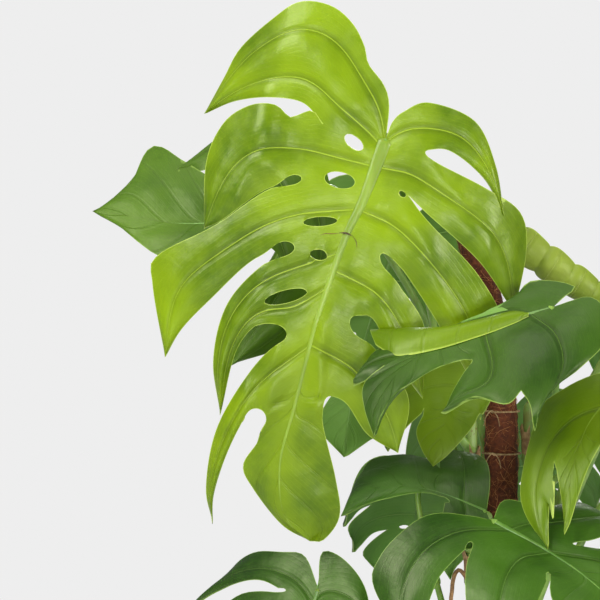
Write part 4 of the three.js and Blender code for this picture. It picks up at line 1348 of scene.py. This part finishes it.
stalk = wrap("unfurling_petiole", line, stalk_thickness(5.4, 3.8), 16, (1, -1, 0))
paint(stalk, stalk_skin)
hand_over(stalk, "stalk_green", "rolled_leaf_stalk")

# %% [markdown]
# ## The pot and what is in it
# A grower's pot is one moulding: tapered, with a thick rolled rim, a step under it, and a
# raised foot. It starts as a cylinder whose top is drawn wider, then the rim is extruded out
# and up and the inside is extruded down. A spun profile would do as well.

# %% Faces of a piece picked by where they are
def pick_faces(piece, test):
    bpy.ops.object.mode_set(mode="OBJECT")
    mesh = piece.data
    for what in (mesh.vertices, mesh.edges):
        what.foreach_set("select", np.zeros(len(what), dtype=bool))
    mesh.polygons.foreach_set("select", [bool(test(f.center, f.normal)) for f in mesh.polygons])
    bpy.ops.object.mode_set(mode="EDIT")
    bpy.ops.mesh.select_mode(type="FACE")


def draw_out(move=(0, 0, 0), size=1.0):
    bpy.ops.mesh.extrude_region_move(TRANSFORM_OT_translate={"value": move})
    if size != 1.0:
        bpy.ops.transform.resize(value=(size, size, 1))


# %% The pot
POT = {"height": 0.250, "top": 0.145, "foot": 0.108, "wall": 0.0032, "floor": 0.005, "rim": 0.022,
       "out": 0.005}
at = lambda z: POT["foot"] + (POT["top"] - POT["foot"]) * z / POT["height"]
clear_selection()
bpy.ops.mesh.primitive_cylinder_add(vertices=120, radius=POT["foot"] - 0.002, depth=0.004,
                                    end_fill_type="NGON",
                                    location=(0, 0, 0.002))
pot = bpy.context.object
pot.name = pot.data.name = "growers_pot"
pick_faces(pot, lambda c, n: n.z > 0.9)
size, z = POT["foot"] - 0.002, 0.004
for z1, r1 in ((0.006, at(0.006)), (0.05, at(0.05)), (0.14, at(0.14)), (0.222, at(0.222)),
               (0.228, at(0.228)),
               (0.2285, at(0.228) + 0.004), (0.230, at(0.230) + 0.005), (0.247, at(0.247) + 0.005),
               (0.2497, at(0.25) + 0.0038), (0.25, at(0.25) + 0.002), (0.2497, at(0.25) - 0.0018),
               (0.247, at(0.247) - 0.0032), (0.14, at(0.14) - 0.0032), (0.006, at(0.006) - 0.0032)):
    draw_out((0, 0, z1 - z), r1 / size)
    size, z = r1, z1
bpy.ops.object.mode_set(mode="OBJECT")
bpy.ops.object.transform_apply(location=True, rotation=True, scale=True)
paint(pot, pot_finish)
bpy.ops.object.shade_smooth_by_angle(angle=math.radians(35))
# six drain holes, each a dark recess cut in from below
for k in range(6):
    a = math.pi * (k + 0.5) / 3
    clear_selection()
    bpy.ops.mesh.primitive_cylinder_add(vertices=24, radius=0.007, depth=0.04,
                                        location=(0.07 * math.cos(a), 0.07 * math.sin(a), 0.0))
    drill = bpy.context.object
    pick(pot)
    cut = pot.modifiers.new("drain", "BOOLEAN")
    cut.operation, cut.object, cut.solver = "DIFFERENCE", drill, "EXACT"
    bpy.ops.object.modifier_apply(modifier="drain")
    bpy.data.objects.remove(drill)
hand_over(pot, "pot_plastic", "pot")
print("pot:", len(pot.data.polygons), "faces", [round(v, 4) for v in pot.dimensions])

# %% The compost: a closed bed with an uneven top
SOIL_TOP = 0.230
clear_selection()
bpy.ops.mesh.primitive_cylinder_add(vertices=96, radius=at(0.0055) - 0.0042, depth=0.003,
                                    end_fill_type="NGON",
                                    location=(0, 0, 0.007))
bed = bpy.context.object
bed.name = bed.data.name = "compost_bed"
pick_faces(bed, lambda c, n: n.z > 0.9)
draw_out((0, 0, 0.1), (at(0.1085) - 0.0042) / (at(0.0055) - 0.0042))
draw_out((0, 0, SOIL_TOP - 0.1085), (at(SOIL_TOP) - 0.0042) / (at(0.1085) - 0.0042))
for inner in range(22):
    bpy.ops.mesh.inset(thickness=0.0056)
bpy.ops.object.mode_set(mode="OBJECT")
bpy.ops.object.transform_apply(location=True, rotation=True, scale=True)
co = points_of(bed)
top = (co[:, 2] > SOIL_TOP - 0.001) & (np.hypot(co[:, 0], co[:, 1]) < at(SOIL_TOP) - 0.006)
co[top, 2] += [0.004 * noise.noise(Vector(p) * 28) + 0.0022 * noise.noise(Vector(p) * 110) + 0.002
               for p in co[top]]
put_points(bed, co)
paint(bed, soil_dark)
bpy.ops.object.shade_smooth_by_angle(angle=math.radians(50))

# %% Crumbs and chips on it, each a copy of one rough lump
clear_selection()
bpy.ops.mesh.primitive_ico_sphere_add(subdivisions=2, radius=1)
lump = bpy.context.object
co = points_of(lump)
put_points(lump, co * (1 + 0.35 * np.array([noise.noise(Vector(p) * 1.7) for p in co]))[:, None])
shape = points_of(lump)
lumps = []
chance = random.Random(11)
for k in range(420):
    r, a = math.sqrt(chance.random()) * 0.128, chance.uniform(0, 2 * math.pi)
    size = chance.uniform(0.0012, 0.0042) * (1.5 if chance.random() < 0.12 else 1)
    x, y = r * math.cos(a), r * math.sin(a)
    q = chance.uniform(0, math.pi)
    flat = chance.uniform(0.35, 0.9)
    long = chance.uniform(0.8, 1.9)
    copy = lump.copy()
    copy.data = lump.data.copy()
    bpy.context.collection.objects.link(copy)
    p = shape * [size * long, size, size * flat]
    put_points(copy, np.column_stack([p[:, 0] * math.cos(q) - p[:, 1] * math.sin(q) + x,
                                      p[:, 0] * math.sin(q) + p[:, 1] * math.cos(q) + y,
                                      p[:, 2] + SOIL_TOP + 0.0035]))
    paint(copy, soil_crumb if chance.random() < 0.8 else dry_root)
    lumps.append(copy)
bpy.data.objects.remove(lump)
crumbs = join(lumps)
bpy.ops.object.shade_smooth()
soil = join([bed, crumbs])
soil.name = soil.data.name = "compost"
hand_over(soil, "compost", "soil")
print("compost:", len(soil.data.polygons), "faces")

# %% [markdown]
# ## Floor, light and camera
# A plain pale floor, a pale room all round and two large soft lamps: one high at the left
# front that draws the broad gloss on the leaves, one weaker at the right. The camera stands
# level, far away, with a long lens, so the plant is drawn almost without perspective.

# %% Floor
clear_selection()
bpy.ops.mesh.primitive_circle_add(vertices=96, radius=3.0, fill_type="NGON", location=(0, 0, -0.0005))
floor = bpy.context.object
floor.name = "floor"
floor_paint, tree, shader, relief = finish("floor_paint", 0.85)
tree.links.new(blend_colours(tree, grain(tree, 3.0), rgb(226, 226, 226), rgb(230, 230, 229)),
               shader.inputs["Base Color"])
paint(floor, floor_paint)
floor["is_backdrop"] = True

# %% Room light
room = bpy.data.worlds.new("pale_room")
bpy.context.scene.world = room
room.use_nodes = True
tree = room.node_tree
tree.nodes.clear()
seen = node(tree, "ShaderNodeBackground", {"Color": rgb(238, 238, 238), "Strength": 1.0})
lights = node(tree, "ShaderNodeBackground", {"Color": (0.90, 0.91, 0.93, 1), "Strength": 0.35})
ray = node(tree, "ShaderNodeLightPath").outputs["Is Camera Ray"]
either = node(tree, "ShaderNodeMixShader", {0: ray, 1: lights.outputs[0], 2: seen.outputs[0]})
node(tree, "ShaderNodeOutputWorld", {"Surface": either.outputs[0]})


def lamp(name, place, target, size, power):
    data = bpy.data.lights.new(name, "AREA")
    data.shape, data.size, data.size_y, data.energy = "RECTANGLE", size[0], size[1], power
    made = bpy.data.objects.new(name, data)
    bpy.context.collection.objects.link(made)
    made.location = place
    made.rotation_euler = (Vector(target) - Vector(place)).to_track_quat("-Z", "Y").to_euler()


lamp("soft_left", (-1.7, -2.0, 2.5), (-0.1, 0, 0.9), (1.6, 1.6), 96)
lamp("soft_right", (2.5, -2.1, 1.15), (-0.05, -0.2, 0.95), (0.7, 1.1), 60)
lamp("soft_front", (-0.1, -3.3, 0.3), (-0.1, 0, 0.95), (0.6, 0.36), 32)
lamp("soft_top", (-0.1, -0.3, 3.2), (0, -0.2, 0.9), (1.0, 1.0), 12)
lamp("soft_back", (0.4, 2.4, 2.4), (0, 0, 0.8), (1.6, 1.2), 48)

# %% Camera
lens = bpy.data.cameras.new("long_lens")
lens.lens, lens.sensor_width, lens.clip_end = 182.4, 36.0, 50.0
camera = bpy.data.objects.new("camera", lens)
bpy.context.collection.objects.link(camera)
camera.location = (-0.25, -3.8, 0.925)
camera.rotation_euler = (math.radians(90), 0, 0)
bpy.context.scene.camera = camera
bpy.context.scene.view_settings.view_transform = "Standard"

# %% The size of the finished model beside the frame's
own_size = [list(corner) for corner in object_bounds()]
print("model box:", [[round(v, 3) for v in corner] for corner in own_size])
